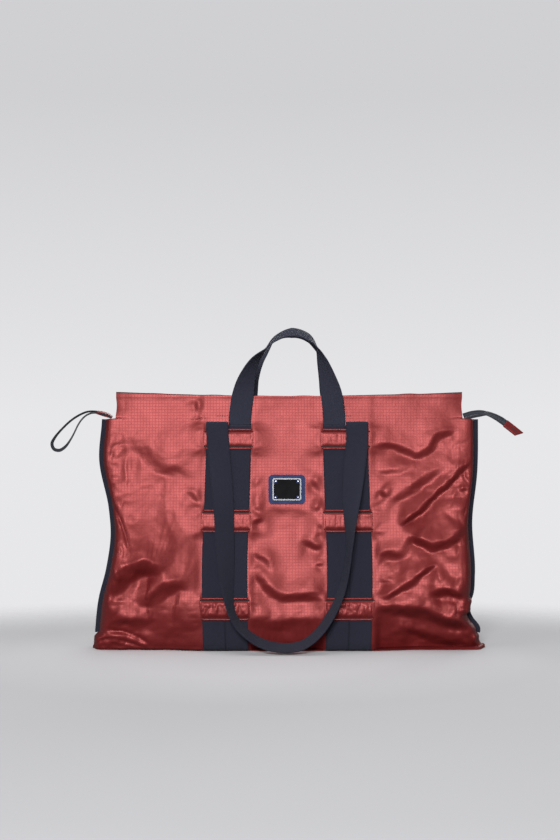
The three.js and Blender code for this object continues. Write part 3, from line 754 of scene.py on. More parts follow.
def felt():
    s = Shader(
        "patch felt", (0.022, 0.030, 0.085), 0.9, Specular_IOR_Level=0.2,
        Sheen_Weight=0.15, Sheen_Roughness=0.6, Sheen_Tint=(0.5, 0.6, 1.0, 1),
    )
    fibres = s.noise(900.0, 5.0)
    clumps = s.noise(150.0, 3.0)
    tone = s.math("MULTIPLY", s.math("ADD", fibres, clumps), 0.5)
    s.colour(tone, (0.25, (0.010, 0.014, 0.040)), (0.75, (0.032, 0.044, 0.115)))
    s.roughen(s.spread(fibres, 0.82, 1.0))
    s.bump(s.math("ADD", fibres, clumps), 0.0005, 0.7)
    return s.material


def polished(name, colour, roughness, wear):
    """Plated metal with fine brushing and a few rubbed places."""
    s = Shader(name, colour, roughness, Metallic=1.0)
    stretch = s.node("Mapping", {0: s.place(), 3: (900.0, 900.0, 90.0)}).outputs[0]
    brushing = s.noise(1.0, 3.0, stretch)
    smudges = s.noise(180.0, 3.0)
    dark = tuple(c * 0.78 for c in colour)
    tone = s.math("ADD", s.math("MULTIPLY", brushing, 0.5), s.math("MULTIPLY", smudges, 0.5))
    s.colour(tone, (0.3, dark), (0.7, colour))
    rubbed = s.spread(smudges, roughness - 0.05, roughness + wear)
    s.roughen(s.math("ADD", rubbed, s.math("MULTIPLY", brushing, 0.08)))
    s.bump(brushing, 0.00004, 0.5)
    return s.material


def enamel():
    s = Shader("black enamel", (0.0015, 0.0013, 0.0020), 0.6, Specular_IOR_Level=0.03)
    orange_peel = s.noise(700.0, 2.0)
    dust = s.noise(2400.0, 1.0)
    dusty = s.spread(dust, 0.0, 1.0, 0.62, 0.80)
    s.colour(dusty, (0.0, (0.0015, 0.0013, 0.0020)), (1.0, (0.006, 0.005, 0.007)))
    s.roughen(s.spread(s.noise(90.0), 0.44, 0.56))
    s.bump(orange_peel, 0.00003, 0.4)
    return s.material


def coil_plastic():
    s = Shader("zip coil nylon", (0.022, 0.026, 0.038), 0.38, Specular_IOR_Level=0.5)
    scuffs = s.noise(600.0, 3.0)
    s.colour(scuffs, (0.3, (0.014, 0.016, 0.024)), (0.8, (0.038, 0.043, 0.060)))
    s.roughen(s.spread(scuffs, 0.30, 0.50))
    s.bump(scuffs, 0.00005, 0.5)
    return s.material


NAVY, NAVY_DEEP = (0.0200, 0.0208, 0.0365), (0.0080, 0.0083, 0.0150)
# The handles' webbing is the navy webbing painted lighter: painted light on the handles.
PAINTED_LIGHT_HANDLE_NAVY, PAINTED_LIGHT_HANDLE_NAVY_DEEP = (0.0290, 0.0305, 0.0500), (0.0130, 0.0136, 0.0230)
red_cloth = ripstop("ripstop nylon")
red_inside = ripstop("ripstop nylon inside", dull=1.0)
navy_webbing = webbing("navy webbing", NAVY, NAVY_DEEP)
painted_light_handle_webbing = webbing("handle webbing painted lighter", PAINTED_LIGHT_HANDLE_NAVY, PAINTED_LIGHT_HANDLE_NAVY_DEEP)
navy_binding = webbing("navy binding", NAVY, NAVY_DEEP, rib=0.0011, selvedge=BINDING_WIDTH / 2)
navy_ribbon = woven("navy ribbon", (0.013, 0.015, 0.021), (0.004, 0.005, 0.007), 0.0009)
zip_tape_weave = woven("zip tape weave", (0.016, 0.018, 0.026), (0.005, 0.006, 0.009), 0.0010)
# Real dark thread for the stitches. The same material on the cloth along each bridge's groove is painted
# shade.
thread_and_groove_shade = woven("dark thread and groove shade", (0.011, 0.0045, 0.0055), (0.004, 0.0015, 0.002), 0.0005)
red_thread = woven("red thread", (0.24, 0.030, 0.034), (0.10, 0.010, 0.012), 0.0005, roughness=0.6)
patch_felt = felt()
silver = polished("silver plating", (0.21, 0.215, 0.23), 0.52, 0.12)
rivet_silver = polished("rivet silver", (0.55, 0.55, 0.58), 0.45, 0.10)
# A dark red for the top row of each face's cloth: a painted shade line along the top edge.
hem_painted_shade = woven("hem painted shade", (0.060, 0.0070, 0.0085), (0.026, 0.003, 0.0035), 0.0009)
zip_metal = polished("zip metal", (0.62, 0.62, 0.66), 0.28, 0.15)
black_enamel = enamel()
zip_coil_nylon = coil_plastic()


# Bands of webbing, tape and ribbon

def band_frame(route, steps_per_stop):
    """Centres, across and through directions, and lengths along a band. Each stop of a route is
    (point, heading, turn): the heading of the band's inner edge in the XZ plane, and its turn towards +Y."""
    centres, stops = catmull_rom([s[0] for s in route], steps_per_stop)
    angles = np.radians([[s[1], s[2]] for s in route])
    at = np.arange(len(route))
    heading = np.interp(stops, at, angles[:, 0])
    turn = np.interp(stops, at, angles[:, 1])
    tangents = directions_along(centres)
    across = np.stack([np.cos(heading) * np.cos(turn), np.sin(turn), np.sin(heading) * np.cos(turn)], -1)
    across -= (across * tangents).sum(1, keepdims=True) * tangents
    across /= np.linalg.norm(across, axis=1, keepdims=True)
    through = np.cross(tangents, across)
    return centres, across, through, lengths_along(centres)


def band_section(width, thickness, cup=0.0):
    """Half the outline of a woven band: (across, through), with thin round edges and a slight cup."""
    shares = np.array([-1, -0.985, -0.95, -0.8, -0.5, 0, 0.5, 0.8, 0.95, 0.985, 1])
    edge = np.sqrt(np.clip((1 - np.abs(shares)) / 0.05, 0, 1))
    top = np.stack([shares * width / 2, edge * thickness / 2 + cup * (1 - shares**2)], -1)
    bottom = np.stack([shares * width / 2, -edge * thickness / 2 + cup * (1 - shares**2)], -1)
    return np.vstack([top, bottom[-2:0:-1]])


def slanted(lines, offset, slant):
    """How far the last part of a band is carried on along it, more on one edge than on the other."""
    _, across, through, along = lines
    share = smoothstep(0.4, 1.0, along / along[-1])
    return np.cross(across, through) * (slant * offset * share)[:, None]


def band_piece(name, frame_lines, section, materials, is_back=False, wave=0.0, slant=0.0):
    centres, across, through, along = frame_lines
    rows, count = len(centres), len(section)
    points = (
        centres[:, None]
        + across[:, None] * section[None, :, :1]
        + through[:, None] * section[None, :, 1:]
    )
    points = points + np.stack([slanted(frame_lines, offset, slant) for offset in section[:, 0]], 1)
    if wave:
        u, v = np.meshgrid(section[:, 0], along)
        lift = wave * noise(v, u, 0.03, 5)
        points = points + through[:, None] * lift[..., None]
    u = np.broadcast_to(section[None, :, 0], (rows, count))
    v = np.broadcast_to(along[:, None], (rows, count))
    points = placed(points.reshape(-1, 3), is_back)
    return mesh_piece(name, points, tube_faces(rows, count), materials, np.stack([u, v], -1))


def handle_route(is_back):
    left = pair_centre(-1) + WEB_PITCH / 2
    right = pair_centre(1) - WEB_PITCH / 2
    root_depth = half_depth_at(HANDLE_ROOT) + GAP + WEB_THICKNESS / 2
    lean = 0.06
    stop = lambda x, z, heading, turn: ((x, -root_depth - lean * (z - HANDLE_ROOT), z), heading, turn)
    mirrored = lambda s: ((-s[0][0], s[0][1], s[0][2]), -180 - s[1], s[2])
    behind = 0.005 if is_back else 0.0
    lift = 0.003 if is_back else 0.0
    untwisted = 12 if is_back else 0
    arch = [
        stop(-0.0685 + behind, 0.376, -8, 15),
        stop(-0.0625 + behind, 0.402, -20, 44),
        stop(-0.0510 + 0.6 * behind, 0.427, -38, 68 - untwisted),
        stop(-0.0360 + 0.3 * behind, 0.444, -48, 90 - untwisted),
        stop(-0.020, 0.460 + lift, -58, 105 - untwisted),
        stop(0.004, 0.4695 + lift, -90, 114),
        stop(0.029, 0.462 + lift, -122, 108),
        stop(0.042, 0.446, -145, 90),
        stop(0.0495, 0.427, -158, 67),
        stop(0.057, 0.402, -163, 45),
        stop(0.063, 0.377, -171, 20),
    ]
    if is_back:
        arch = [mirrored(s) for s in reversed(arch)]
    ends = [stop(left, HANDLE_ROOT, 0, 0), stop(left, HANDLE_ROOT + 0.012, 0, 0)]
    return ends + arch + [stop(right, HANDLE_ROOT + 0.012, -180, 0), stop(right, HANDLE_ROOT, -180, 0)]


def strap_route():
    left = pair_centre(-1) - WEB_PITCH / 2 - 0.0005
    right = pair_centre(1) + WEB_PITCH / 2 + 0.0005
    rest_out, fold_radius = 0.0048, 0.0017

    def stop(x, z, heading, turn):
        out = rest_out + WEB_WIDTH / 2 * math.sin(math.radians(turn))
        return ((x, -half_depth_at(z) - out, z), heading, turn)

    def over_fold(x, heading):
        stops = []
        for angle in np.radians([0, 60, 120]):
            out = rest_out - fold_radius - fold_radius * math.cos(angle)
            height = STRAP_FOLD + fold_radius * math.sin(angle)
            stops.append(((x, -half_depth_at(STRAP_FOLD) - out, height), heading, 0))
        return stops

    hanging = [
        stop(left, STRAP_FOLD - 0.001, 0, 0), stop(left + 0.002, 0.300, 0, 0), stop(-0.097, 0.223, 0, 23),
        stop(-0.093, 0.140, 3, 41), stop(-0.088, 0.079, 12, 66), stop(-0.081, 0.054, 26, 74),
        stop(-0.067, 0.034, 45, 74), stop(-0.040, 0.016, 68, 73), stop(-0.008, 0.0095, 88, 73),
        stop(0.020, 0.014, 110, 73), stop(0.044, 0.033, 132, 73), stop(0.061, 0.058, 145, 72),
        stop(0.075, 0.088, 154, 74), stop(0.0835, 0.122, 164, 77), stop(0.087, 0.147, 170, 78),
        stop(0.089, 0.177, 174, 68), stop(0.091, 0.211, 176, 48), stop(0.096, 0.270, 178, 12),
        stop(right, 0.310, 180, 0), stop(right, STRAP_FOLD - 0.001, 180, 0),
    ]
    return over_fold(left, 0) + hanging + over_fold(right, 180)[::-1]


def handle_and_strap(prefix):
    is_back = prefix == "back"
    section = band_section(WEB_WIDTH, WEB_THICKNESS, cup=0.0003)
    lines = band_frame(handle_route(is_back), 8)
    piece = band_piece(f"{prefix}_short_handle_webbing", lines, section, [painted_light_handle_webbing], is_back, 0.0003)
    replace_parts(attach(piece, f"{prefix}_handle"), f"{prefix}_short_handle")
    lines = band_frame(strap_route(), 8)
    piece = band_piece(f"{prefix}_long_strap_webbing", lines, section, [navy_webbing], is_back, 0.0003)
    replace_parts(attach(piece, f"{prefix}_strap"), f"{prefix}_long_strap")


def flatten(piece):
    """Rides on the bag's root, with a mesh of its own."""
    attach(piece, "root")
    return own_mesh(piece)


# The cloth of a face: one piece from seam to seam and from the base to the top edge

def face_cloth(prefix):
    is_back = prefix == "back"
    rows_z = np.concatenate([
        np.array([0.0006, 0.0012, 0.0020, 0.0028, 0.0038, 0.0050, 0.0066, 0.0084, 0.0104]),
        np.arange(0.0126, ZIP_HEIGHT - 0.001, CLOTH_STEP),
        np.array([ZIP_HEIGHT - 0.0006, ZIP_HEIGHT + 0.0006]),
        np.arange(ZIP_HEIGHT + 0.0024, TOP_HEIGHT - 0.0085, CLOTH_STEP),
    ])
    hem_steps = 5
    columns = int(2 * 0.282 / CLOTH_STEP)
    share = np.linspace(-1, 1, columns)
    share = np.sign(share) * (1 - (1 - np.abs(share)) ** 1.5)
    z = np.repeat(rows_z[:, None], columns, 1)
    collar_edge = COLLAR_SEEN_HALF_WIDTH + 0.0012 * noise(z, 0 * z, 0.02, 63)
    edge = np.where(z > ZIP_HEIGHT, collar_edge, nearest_edge(share, z, is_back))
    x = share * edge
    last_x, start = x[-1], z[-1]
    for k in range(1, hem_steps + 1):
        x = np.vstack([x, last_x])
        z = np.vstack([z, lerp(start, top_edge_at(last_x, is_back), k / hem_steps)])
    outer = surface(x, z, 0.0, is_back, wrinkled=True)
    behind = surface(x, z, -CLOTH_THICKNESS, is_back, wrinkled=True)
    coords = np.stack([x, z], -1)
    piece = shell_piece(f"{prefix}_cloth", outer, behind, coords, [red_cloth, hem_painted_shade])
    rows, columns = x.shape
    per_side = (rows - 1) * (columns - 1)
    # The last row of outer faces, along the top edge, takes the dark hem material: painted shade.
    slots = np.zeros(len(piece.data.polygons), int)
    slots[per_side - columns + 1 : per_side] = 1
    piece.data.polygons.foreach_set("material_index", slots)
    flatten(piece)
    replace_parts(piece, f"{prefix}_panel", f"{prefix}_wing_left", f"{prefix}_wing_right")
    tack_stitches(prefix)


def tack_stitches(prefix):
    """Short rows of stitches beside the bands' tops, where the collar's lining is caught."""
    is_back = prefix == "back"
    rows = []
    for low, high in ((-0.109, -0.088), (0.081, 0.095)):
        x = np.linspace(low, high, 12)
        line = surface(x, 0.346 + 0 * x, 0.0002, is_back, wrinkled=True)
        rows.append(stitch_line(line, outward(is_back), radius=0.0006, length=0.0028, pitch=0.0036))
    piece = mesh_piece(f"{prefix}_tack_stitches", *joined(rows), [thread_and_groove_shade])
    flatten(piece)


def outward(is_back):
    """The way that a face looks."""
    return (0, 1, 0) if is_back else (0, -1, 0)


def side_name(side):
    return "left" if side < 0 else "right"


def web_run(prefix, side, place, end):
    """A band that lies flat on the face, from under the base up to the top bridge."""
    is_back = prefix == "back"
    step = side * WEB_PITCH / 2 * (1 if place == "outer" else -1)
    section = band_section(WEB_SEEN_WIDTH, WEB_THICKNESS)
    rows_z = np.concatenate([np.linspace(0.0018, 0.014, 10), np.arange(0.018, end - 0.002, 0.004), [end]])
    centre = pair_centre(side, rows_z[:, None]) + step
    x = centre + section[None, :, 0]
    z = rows_z[:, None] + 0 * x
    sway = 0.0004 * noise(x, z, 0.045, 51 + int(side) + 3 * (place == "outer"))
    out = GAP + WEB_THICKNESS / 2 + section[None, :, 1] + sway
    points = surface(x, z, out, is_back).reshape(-1, 3)
    faces = tube_faces(*x.shape, flip=True)
    coords = np.stack([x - centre, z], -1)
    name = f"{prefix}_web_{place}_{side_name(side)}"
    piece = mesh_piece(name + "_webbing", points, faces, [navy_webbing], coords)
    flatten(piece)
    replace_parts(piece, name)


# Bridges

STITCH_LENGTH = 0.0021
STITCH_PITCH = 0.0029
STITCH_RADIUS = 0.00042


def stitch_line(line, facing, radius=STITCH_RADIUS, length=STITCH_LENGTH, pitch=STITCH_PITCH):
    """Points and faces of a row of short thread stitches along a line of points."""
    along = lengths_along(line)
    sides, rings = 6, 5
    shares = np.linspace(0, 1, rings)
    stitches = []
    for start in np.arange(pitch / 2, along[-1] - length, pitch):
        places = [start + s * length for s in shares]
        centres = np.stack([np.interp(at, along, line[:, k]) for at in places for k in range(3)])
        centres = centres.reshape(rings, 3)
        direction = centres[-1] - centres[0]
        direction /= np.linalg.norm(direction)
        up = np.asarray(facing, float) - np.dot(facing, direction) * direction
        up /= np.linalg.norm(up)
        other = np.cross(direction, up)
        points = []
        for k, s in enumerate(shares):
            size = radius * (0.35 + 0.65 * math.sin(math.pi * s) ** 0.5)
            dip = -radius * 1.2 * (2 * s - 1) ** 2
            for q in range(sides):
                a = 2 * math.pi * q / sides
                points.append(centres[k] + up * (size * math.cos(a) + dip) + other * size * math.sin(a))
        stitches.append((np.array(points), tube_faces(rings, sides)))
    return joined(stitches)


def bridge_profile(v, height, low_level):
    """How far the bridge's cloth stands out, across its height: lip, groove, crown, groove, lip."""
    from_edge = np.minimum(v, height - v)
    lip = 0.0010 * np.sqrt(np.clip(1 - ((from_edge - 0.0013) / 0.0013) ** 2, 0, 1))
    groove = -0.0011 * np.exp(-((from_edge - BRIDGE_GROOVE) / 0.0013) ** 2)
    crown = 0.0005 * smoothstep(0.0048, 0.0085, from_edge)
    return 0.0031 + lip + groove + crown * (2.5 if low_level else 1.0)


def bridge(prefix, side, level_name):
    is_back = prefix == "back"
    level = BRIDGE_LEVELS[level_name]
    height = BRIDGE_HEIGHTS[level_name]
    is_low = level_name == "low"
    edge_rows = np.array([
        0, 0.0002, 0.0007, 0.0013, 0.0019, 0.0024, 0.0027, 0.0031, 0.0036,
        BRIDGE_GROOVE, 0.0047, 0.0056, 0.0068, 0.0085,
    ])
    inner_rows = np.linspace(0.0105, height - 0.0105, 9)
    v = np.concatenate([edge_rows, inner_rows, height - edge_rows[::-1]])
    half = WEB_PITCH + 0.0030
    ends = np.array([0, 0.0006, 0.0012, 0.0018, 0.0024, 0.0030, 0.0038, 0.0048])
    u = np.concatenate([-half + ends, np.linspace(-half + 0.006, half - 0.006, 62), half - ends[::-1]])
    uu, vv = np.meshgrid(u, v)
    seed = 200 + 10 * int(side > 0) + 3 * list(BRIDGE_LEVELS).index(level_name) + 60 * is_back
    on_crown = smoothstep(0.0048, 0.0100, np.minimum(vv, height - vv))
    pucker = (0.0018 if is_low else 0.0006) * (crumple(uu * 1.5, vv * 0.8, 0.011, seed) - 0.4) * on_crown
    ripple = 0.00025 * noise(uu, vv, 0.009, seed + 6)
    raised = smoothstep(half, WEB_PITCH - 0.0010, np.abs(uu))
    at_end = smoothstep(0, 0.004, np.minimum(vv, height - vv)) * (BRIDGE_END + 0.0010) - 0.0007
    out = lerp(at_end, bridge_profile(vv, height, is_low) + pucker + ripple, raised)
    z = level + vv
    centre = pair_centre(side, z)
    x = centre + uu
    outer = surface(x, z, out, is_back)
    inner = surface(x, z, np.minimum(out - 0.0005, np.where(raised > 0.9, 0.0020, out - 0.0005)), is_back)
    rows, columns = x.shape
    shell = shell_faces(rows, columns)
    parts = [(np.vstack([outer.reshape(-1, 3), inner.reshape(-1, 3)]), shell)]
    # The cloth faces along each groove take the dark thread material: painted shade in the groove, with real
    # stitches laid in it.
    row_of_face = np.arange((rows - 1) * (columns - 1)) // (columns - 1)
    middle = (v[row_of_face] + v[row_of_face + 1]) / 2
    groove_painted_shade = np.abs(np.minimum(middle, height - middle) - BRIDGE_GROOVE) < 0.0010
    slots = groove_painted_shade.astype(int).tolist() + [0] * (len(shell) - len(groove_painted_shade))
    for row_v in (BRIDGE_GROOVE, height - BRIDGE_GROOVE):
        line_u = np.linspace(-WEB_PITCH - 0.0005, WEB_PITCH + 0.0005, 40)
        line_z = level + row_v + 0 * line_u
        line = surface(pair_centre(side, line_z) + line_u, line_z, 0.0019 + 0 * line_u, is_back)
        parts.append(stitch_line(line, outward(is_back), radius=0.00062, length=0.0025, pitch=0.0031))
        slots += [1] * len(parts[-1][1])
    points, faces = joined(parts)
    uv = np.zeros((len(points), 2))
    uv[: 2 * x.size] = np.tile(np.stack([x, z], -1).reshape(-1, 2), (2, 1))
    name = f"{prefix}_bridge_{level_name}_{side_name(side)}"
    piece = mesh_piece(name + "_cloth", points, faces, [red_cloth, thread_and_groove_shade], uv, slots)
    flatten(piece)
    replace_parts(piece, name)


# Name plate, with no name on it

def name_plate():
    looks = [
        ("patch", patch_felt, 0.0005, "patch"),
        ("frame", silver, 0.0005, "metal"),
        ("plate", black_enamel, 0.0003, "plate"),
    ]
    for part, material, rounding, slot in looks:
        piece = from_node(f"plaque_{part}_finish", f"plaque_{part}", material)
        bevelled(piece, rounding)
        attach(piece, "front_face")
    for corner in ("top_left", "top_right", "bottom_left", "bottom_right"):
        node = f"plaque_rivet_{corner}"
        piece = from_node(f"{node}_finish", node, rivet_silver)
        bevelled(piece, 0.0005, segments=4)
        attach(piece, "front_face")


# Base: one sheet under the bag, and the webbing that crosses beneath it

def bottom_reach(x, is_back):
    """How far a face's foot stands from the middle plane, less a little so that the base lies inside it."""
    seen_x = -x if is_back else x
    return np.maximum(face_depth(seen_x, 0.0012 + 0 * x, is_back) - 0.0004, 0.0008)


def base_cloth():
    columns, rows = 220, 40
    share = np.linspace(-1, 1, columns)
    foot = np.where(share < 0, share * outline_at(-1, 0.0), share * outline_at(1, 0.0))
    x = foot[None, :] + np.zeros((rows, 1))
    t = np.linspace(-1, 1, rows)[:, None] + 0 * x
    inside_x = np.clip(x, -0.2905, 0.2905)
    # A known fault, kept as it was tested: each half takes the other face's reach, so the sheet stands
    # out in front of the front's foot and stops short of the back's. The two calls look to be swapped.
    y = -t[::-1] * np.where(t > 0, bottom_reach(inside_x, False), bottom_reach(inside_x, True))
    over_web = 0.0015 * (1 - beside_webs(x, 0 * x, -0.0006, 0.0022))
    end = smoothstep(0.160, 0.285, np.abs(x))
    folded = 0.0030 * end * np.abs(np.cos(2.5 * math.pi * t)) * smoothstep(1.0, 0.85, np.abs(t))
    rough = 0.0010 * crumple(x, y, 0.030, 301) * smoothstep(1.0, 0.9, np.abs(t))
    rough = rough * beside_webs(x, 0 * x, 0, 0.01)
    z = 0.0006 + over_web + folded + rough
    lower = np.stack([x, y[::-1], z], -1)
    upper = lower + np.array([0, 0, CLOTH_THICKNESS])
    piece = shell_piece("base_cloth", upper, lower, np.stack([x, y[::-1]], -1), [red_cloth])
    flatten(piece)
    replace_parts(piece, "base_panel", "base_gusset_left", "base_gusset_right")


def base_web(side, place):
    step = side * WEB_PITCH / 2 * (1 if place == "outer" else -1)
    centre = float(pair_centre(side, 0.0)) + step
    reach = float(face_depth(np.array(centre), np.array(0.0018))) + 0.0006
    section = band_section(WEB_SEEN_WIDTH, WEB_THICKNESS)
    y = np.linspace(-reach, reach, 34)
    lift = 0.0012 * smoothstep(reach - 0.006, reach, np.abs(y))
    centres = np.stack([np.full_like(y, centre), y, WEB_THICKNESS / 2 + 0.0001 + lift], -1)
    across = np.tile([-1.0, 0, 0], (len(y), 1))
    through = np.tile([0, 0, 1.0], (len(y), 1))
    name = f"base_web_{place}_{side_name(side)}"
    piece = band_piece(name + "_webbing", (centres, across, through, y + reach), section, [navy_webbing])
    flatten(piece)
    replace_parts(piece, name)


# Side seams

def side_binding(side):
    """Webbing tape folded over the two cloth edges, with a stitch line along its inner edge."""
    z = np.linspace(BINDING_FOOT, ZIP_HEIGHT - 0.0008, 130)
    middle = outline_at(side, z) - BINDING_WIDTH / 2
    route = np.stack([side * middle, 0.0004 * noise(z, 0 * z, 0.05, 401), z], -1)
    tangent = directions_along(route)
    depth = np.tile([0.0, -1.0, 0.0], (len(z), 1))
    across = np.cross(depth, tangent)
    along = lengths_along(route)
    half, thick = BINDING_WIDTH / 2, BINDING_THICKNESS
    around = np.radians(np.linspace(-90, 90, 9))
    outer_side = 1 if side > 0 else -1
    turn = -1 if np.dot(across[0], [1, 0, 0]) * outer_side < 0 else 1
    rounded = [
        ((half - thick * 0.9 + thick * 0.9 * math.cos(a)) * turn, thick / 2 * math.sin(a)) for a in around
    ]
    open_end = [(-half * turn, thick / 2 * 0.9), (-half * turn, -thick / 2 * 0.9)]
    ridge = [(-half * 0.5 * turn, thick / 2), (0.0, thick / 2)]
    under = [(-half * 0.5 * turn, -thick / 2), (0.0, -thick / 2)]
    section = np.array(rounded + ridge[::-1] + open_end + under)
    name = "side_binding_" + side_name(side)
    piece = band_piece(name + "_tape", (route, across, depth, along), section, [navy_binding])
    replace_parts(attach(piece, "root"), name)
    rows = []
    for out in (-1, 1):
        line = route + across * (-half * 0.45 * turn) + depth * (out * thick / 2)
        rows.append(stitch_line(line, (0, -out, 0), radius=0.00030, length=0.0022, pitch=0.0031))
    thread = mesh_piece(name + "_stitches", *joined(rows), [thread_and_groove_shade])
    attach(thread, "root")


# Zip, along the mouth between the collar's walls

def mouth_at(x):
    return face_depth(x, ZIP_HEIGHT + 0 * x) - 0.0016


def mouth_strip(prefix, part, shares, heights, sag, columns, material, lift=0.0):
    """A strip that follows the mouth, from one share of its half width to another."""
    is_back = prefix == "back"
    reach = COLLAR_HALF_WIDTH - 0.006
    x = np.linspace(-reach, reach, 180)
    s = np.linspace(0, 1, columns)
    xx, ss = np.meshgrid(x, s)
    y = lerp(shares[0](xx), shares[1](xx), ss)
    seed = 500 + 7 * is_back
    droop = -sag * np.sin(math.pi * ss) + lift * noise(xx, ss * 0.02, 0.028, seed)
    z = lerp(heights[0], heights[1], ss) + droop
    top = placed(np.stack([xx, -y, z], -1), is_back)
    bottom = placed(np.stack([xx, -y, z - 0.0008], -1), is_back)
    coords = np.stack([xx, y], -1)
    name = f"zip_{part}_{prefix}"
    piece = shell_piece(name + "_strip", top, bottom, coords, [material])
    flatten(piece)
    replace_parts(piece, name)


def zip_teeth(prefix):
    """The coil of an open zip: small rounded turns along the tape's edge."""
    reach = COLLAR_HALF_WIDTH - 0.008
    radius = 0.0006
    section = [(math.cos(a), math.sin(a)) for a in np.linspace(0, 2 * math.pi, 7)[:-1]]
    turns = []
    for x0 in np.arange(-reach, reach, COIL_PITCH):
        edge = float(mouth_at(np.array(x0))) * 0.34 - 0.0004
        points = []
        for k, (inward, height) in enumerate(COIL_TURN):
            drift = 0.00045 * (k / 5 - 0.5)
            upward = 1 if height >= 0 else -1
            for c, s in section:
                y = edge - inward - radius * 0.6 * c
                points.append((x0 + drift + radius * s, -y, 0.3399 + height + radius * 0.6 * c * upward))
        turns.append((np.array(points), tube_faces(len(COIL_TURN), len(section))))
    points, faces = joined(turns)
    points = placed(points, prefix == "back")
    piece = mesh_piece(f"zip_coil_{prefix}_turns", points, faces, [zip_coil_nylon])
    flatten(piece)
    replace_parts(piece, f"zip_coil_{prefix}")


def zip_hardware():
    for node, body, rounding in [
        ("zip_slider", "slider", 0.0006),
        ("zip_slider_ears", "slider", 0.0005),
        ("zip_pull_pin", "slider", 0.0002),
        ("zip_pull", "pull", 0.0004),
    ]:
        piece = from_node(node + "_finish", node, zip_metal)
        bevelled(piece, rounding)
        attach(piece, body)


def zip_along_mouth():
    share = lambda value, inset=0.0: (lambda x: mouth_at(x) * value - inset)
    for prefix in ("front", "back"):
        gusset = (share(1.0), share(0.78))
        tape = (share(0.86), share(0.34))
        mouth_strip(prefix, "gusset", gusset, (0.3392, 0.3388), 0.0012, 7, red_inside, 0.0008)
        mouth_strip(prefix, "tape", tape, (0.3402, 0.3400), 0.0, 6, zip_tape_weave)
        zip_teeth(prefix)
    zip_hardware()


# The zip tape's free end at the right, and the small tab at the left

def toothed_tape(route):
    """Tape with the closed coil as a row of ribs down its middle."""
    lines = band_frame(route, 10)
    centres, across, through, along = lines
    section = band_section(0.012, 0.0013)
    tape = band_piece("zip_tail_tape_weave", lines, section, [zip_tape_weave], wave=0.0003)
    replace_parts(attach(tape, "tail"), "zip_tail_tape")
    ribs = []
    for start in np.arange(0.001, along[-1] - 0.001, COIL_PITCH):
        pick = [np.interp(start, along, axis[:, k]) for axis in (centres, across, through) for k in range(3)]
        centre, side, out = np.array(pick[:3]), np.array(pick[3:6]), np.array(pick[6:])
        forward = np.cross(side, out)
        for face in (-1, 1):
            points = []
            for a in np.linspace(-1, 1, 5):
                for b in np.linspace(-1, 1, 4):
                    height = 0.0006 + 0.0009 * (1 - a * a) ** 0.5 * (1 - 0.6 * b * b)
                    points.append(centre + side * a * 0.0028 + forward * b * 0.0006 + out * face * height)
            ribs.append((np.array(points), grid_faces(5, 4, flip=face > 0).tolist()))
    teeth = mesh_piece("zip_tail_teeth", *joined(ribs), [zip_coil_nylon])
    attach(teeth, "tail")


def zip_tail():
    stop = lambda x, z, heading, turn: ((x, 0.0, z), heading, turn)
    toothed_tape([
        stop(0.262, 0.3445, 100, 24), stop(0.274, 0.3480, 95, 22), stop(0.286, 0.3498, 88, 34),
        stop(0.296, 0.3498, 80, 60), stop(0.308, 0.3455, 68, 45), stop(0.318, 0.340, 58, 32),
        stop(0.3255, 0.3345, 52, 30),
    ])
    tab_route = [stop(0.3245, 0.3352, 53, 30), stop(0.336, 0.326, 50, 30), stop(0.345, 0.3185, 50, 30)]
    lines = band_frame(tab_route, 12)
    section = band_section(0.013, 0.0028)
    slant = 0.6
    tab = band_piece("zip_tail_tab_cloth", lines, section, [red_cloth], wave=0.0005, slant=slant)
    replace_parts(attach(tab, "tail"), "zip_tail_tab")
    centres, across, through, along = lines
    rows = []
    for out in (-1, 1):
        for offset in (-0.0048, 0.0048):
            line = centres + across * offset + through * out * 0.0013 + slanted(lines, offset, slant)
            rows.append(stitch_line(line, through[0] * out, radius=0.0003, length=0.0018, pitch=0.0026))
    thread = mesh_piece("zip_tail_tab_stitches", *joined(rows), [red_thread])
    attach(thread, "tail")
    inside = slice(len(centres) // 3, -2)
    inner_lines = (centres[inside], across[inside], through[inside], along[inside] - along[inside][0])
    tape = band_piece("zip_tail_tab_tape", inner_lines, band_section(0.0018, 0.0033), [zip_tape_weave])
    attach(tape, "tail")


def start_tab():
    """A lens-shaped fold of cloth over the zip's end, with the navy tape showing between its lips."""
    stop = lambda x, z, heading, turn: ((x, 0.0, z), heading, turn)
    route = [stop(-0.2655, 0.3440, 105, 75), stop(-0.2710, 0.3468, 107, 75), stop(-0.276, 0.3485, 108, 75),
             stop(-0.2820, 0.3502, 104, 75), stop(-0.2885, 0.3516, 100, 75)]
    lines = band_frame(route, 8)
    centres, across, through, along = lines
    share = along / along[-1]
    girth = 0.45 + 0.75 * np.sin(math.pi * np.clip(share, 0, 1)) ** 0.8
    inner = band_section(0.0078, 0.0030)
    tape = band_piece("zip_start_tape", lines, inner, [zip_tape_weave])
    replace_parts(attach(tape, "root"), "zip_start_tab")
    for lip in (-1, 1):
        shape = band_section(0.0090, 0.0009)
        offset = through * (lip * (0.0016 * girth + 0.0003))[:, None]
        name = f"zip_start_lip_{'upper' if lip > 0 else 'lower'}"
        cloth = band_piece(name, (centres + offset, across, through, along), shape, [red_cloth])
        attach(cloth, "root")


# Ribbon loop: a narrow flat ribbon out of the tab, round, and back into it

RIBBON_WIDTH = 0.005
RIBBON_ROUTE = [
    (-0.2872, 0.3525), (-0.295, 0.353), (-0.303, 0.3522), (-0.313, 0.3482), (-0.326, 0.340),
    (-0.340, 0.327), (-0.351, 0.314), (-0.3555, 0.3045), (-0.3525, 0.2965), (-0.3445, 0.2945),
    (-0.336, 0.2995), (-0.329, 0.3085), (-0.322, 0.321), (-0.317, 0.3315), (-0.3115, 0.340),
    (-0.3045, 0.3467), (-0.296, 0.3504), (-0.2872, 0.3508),
]


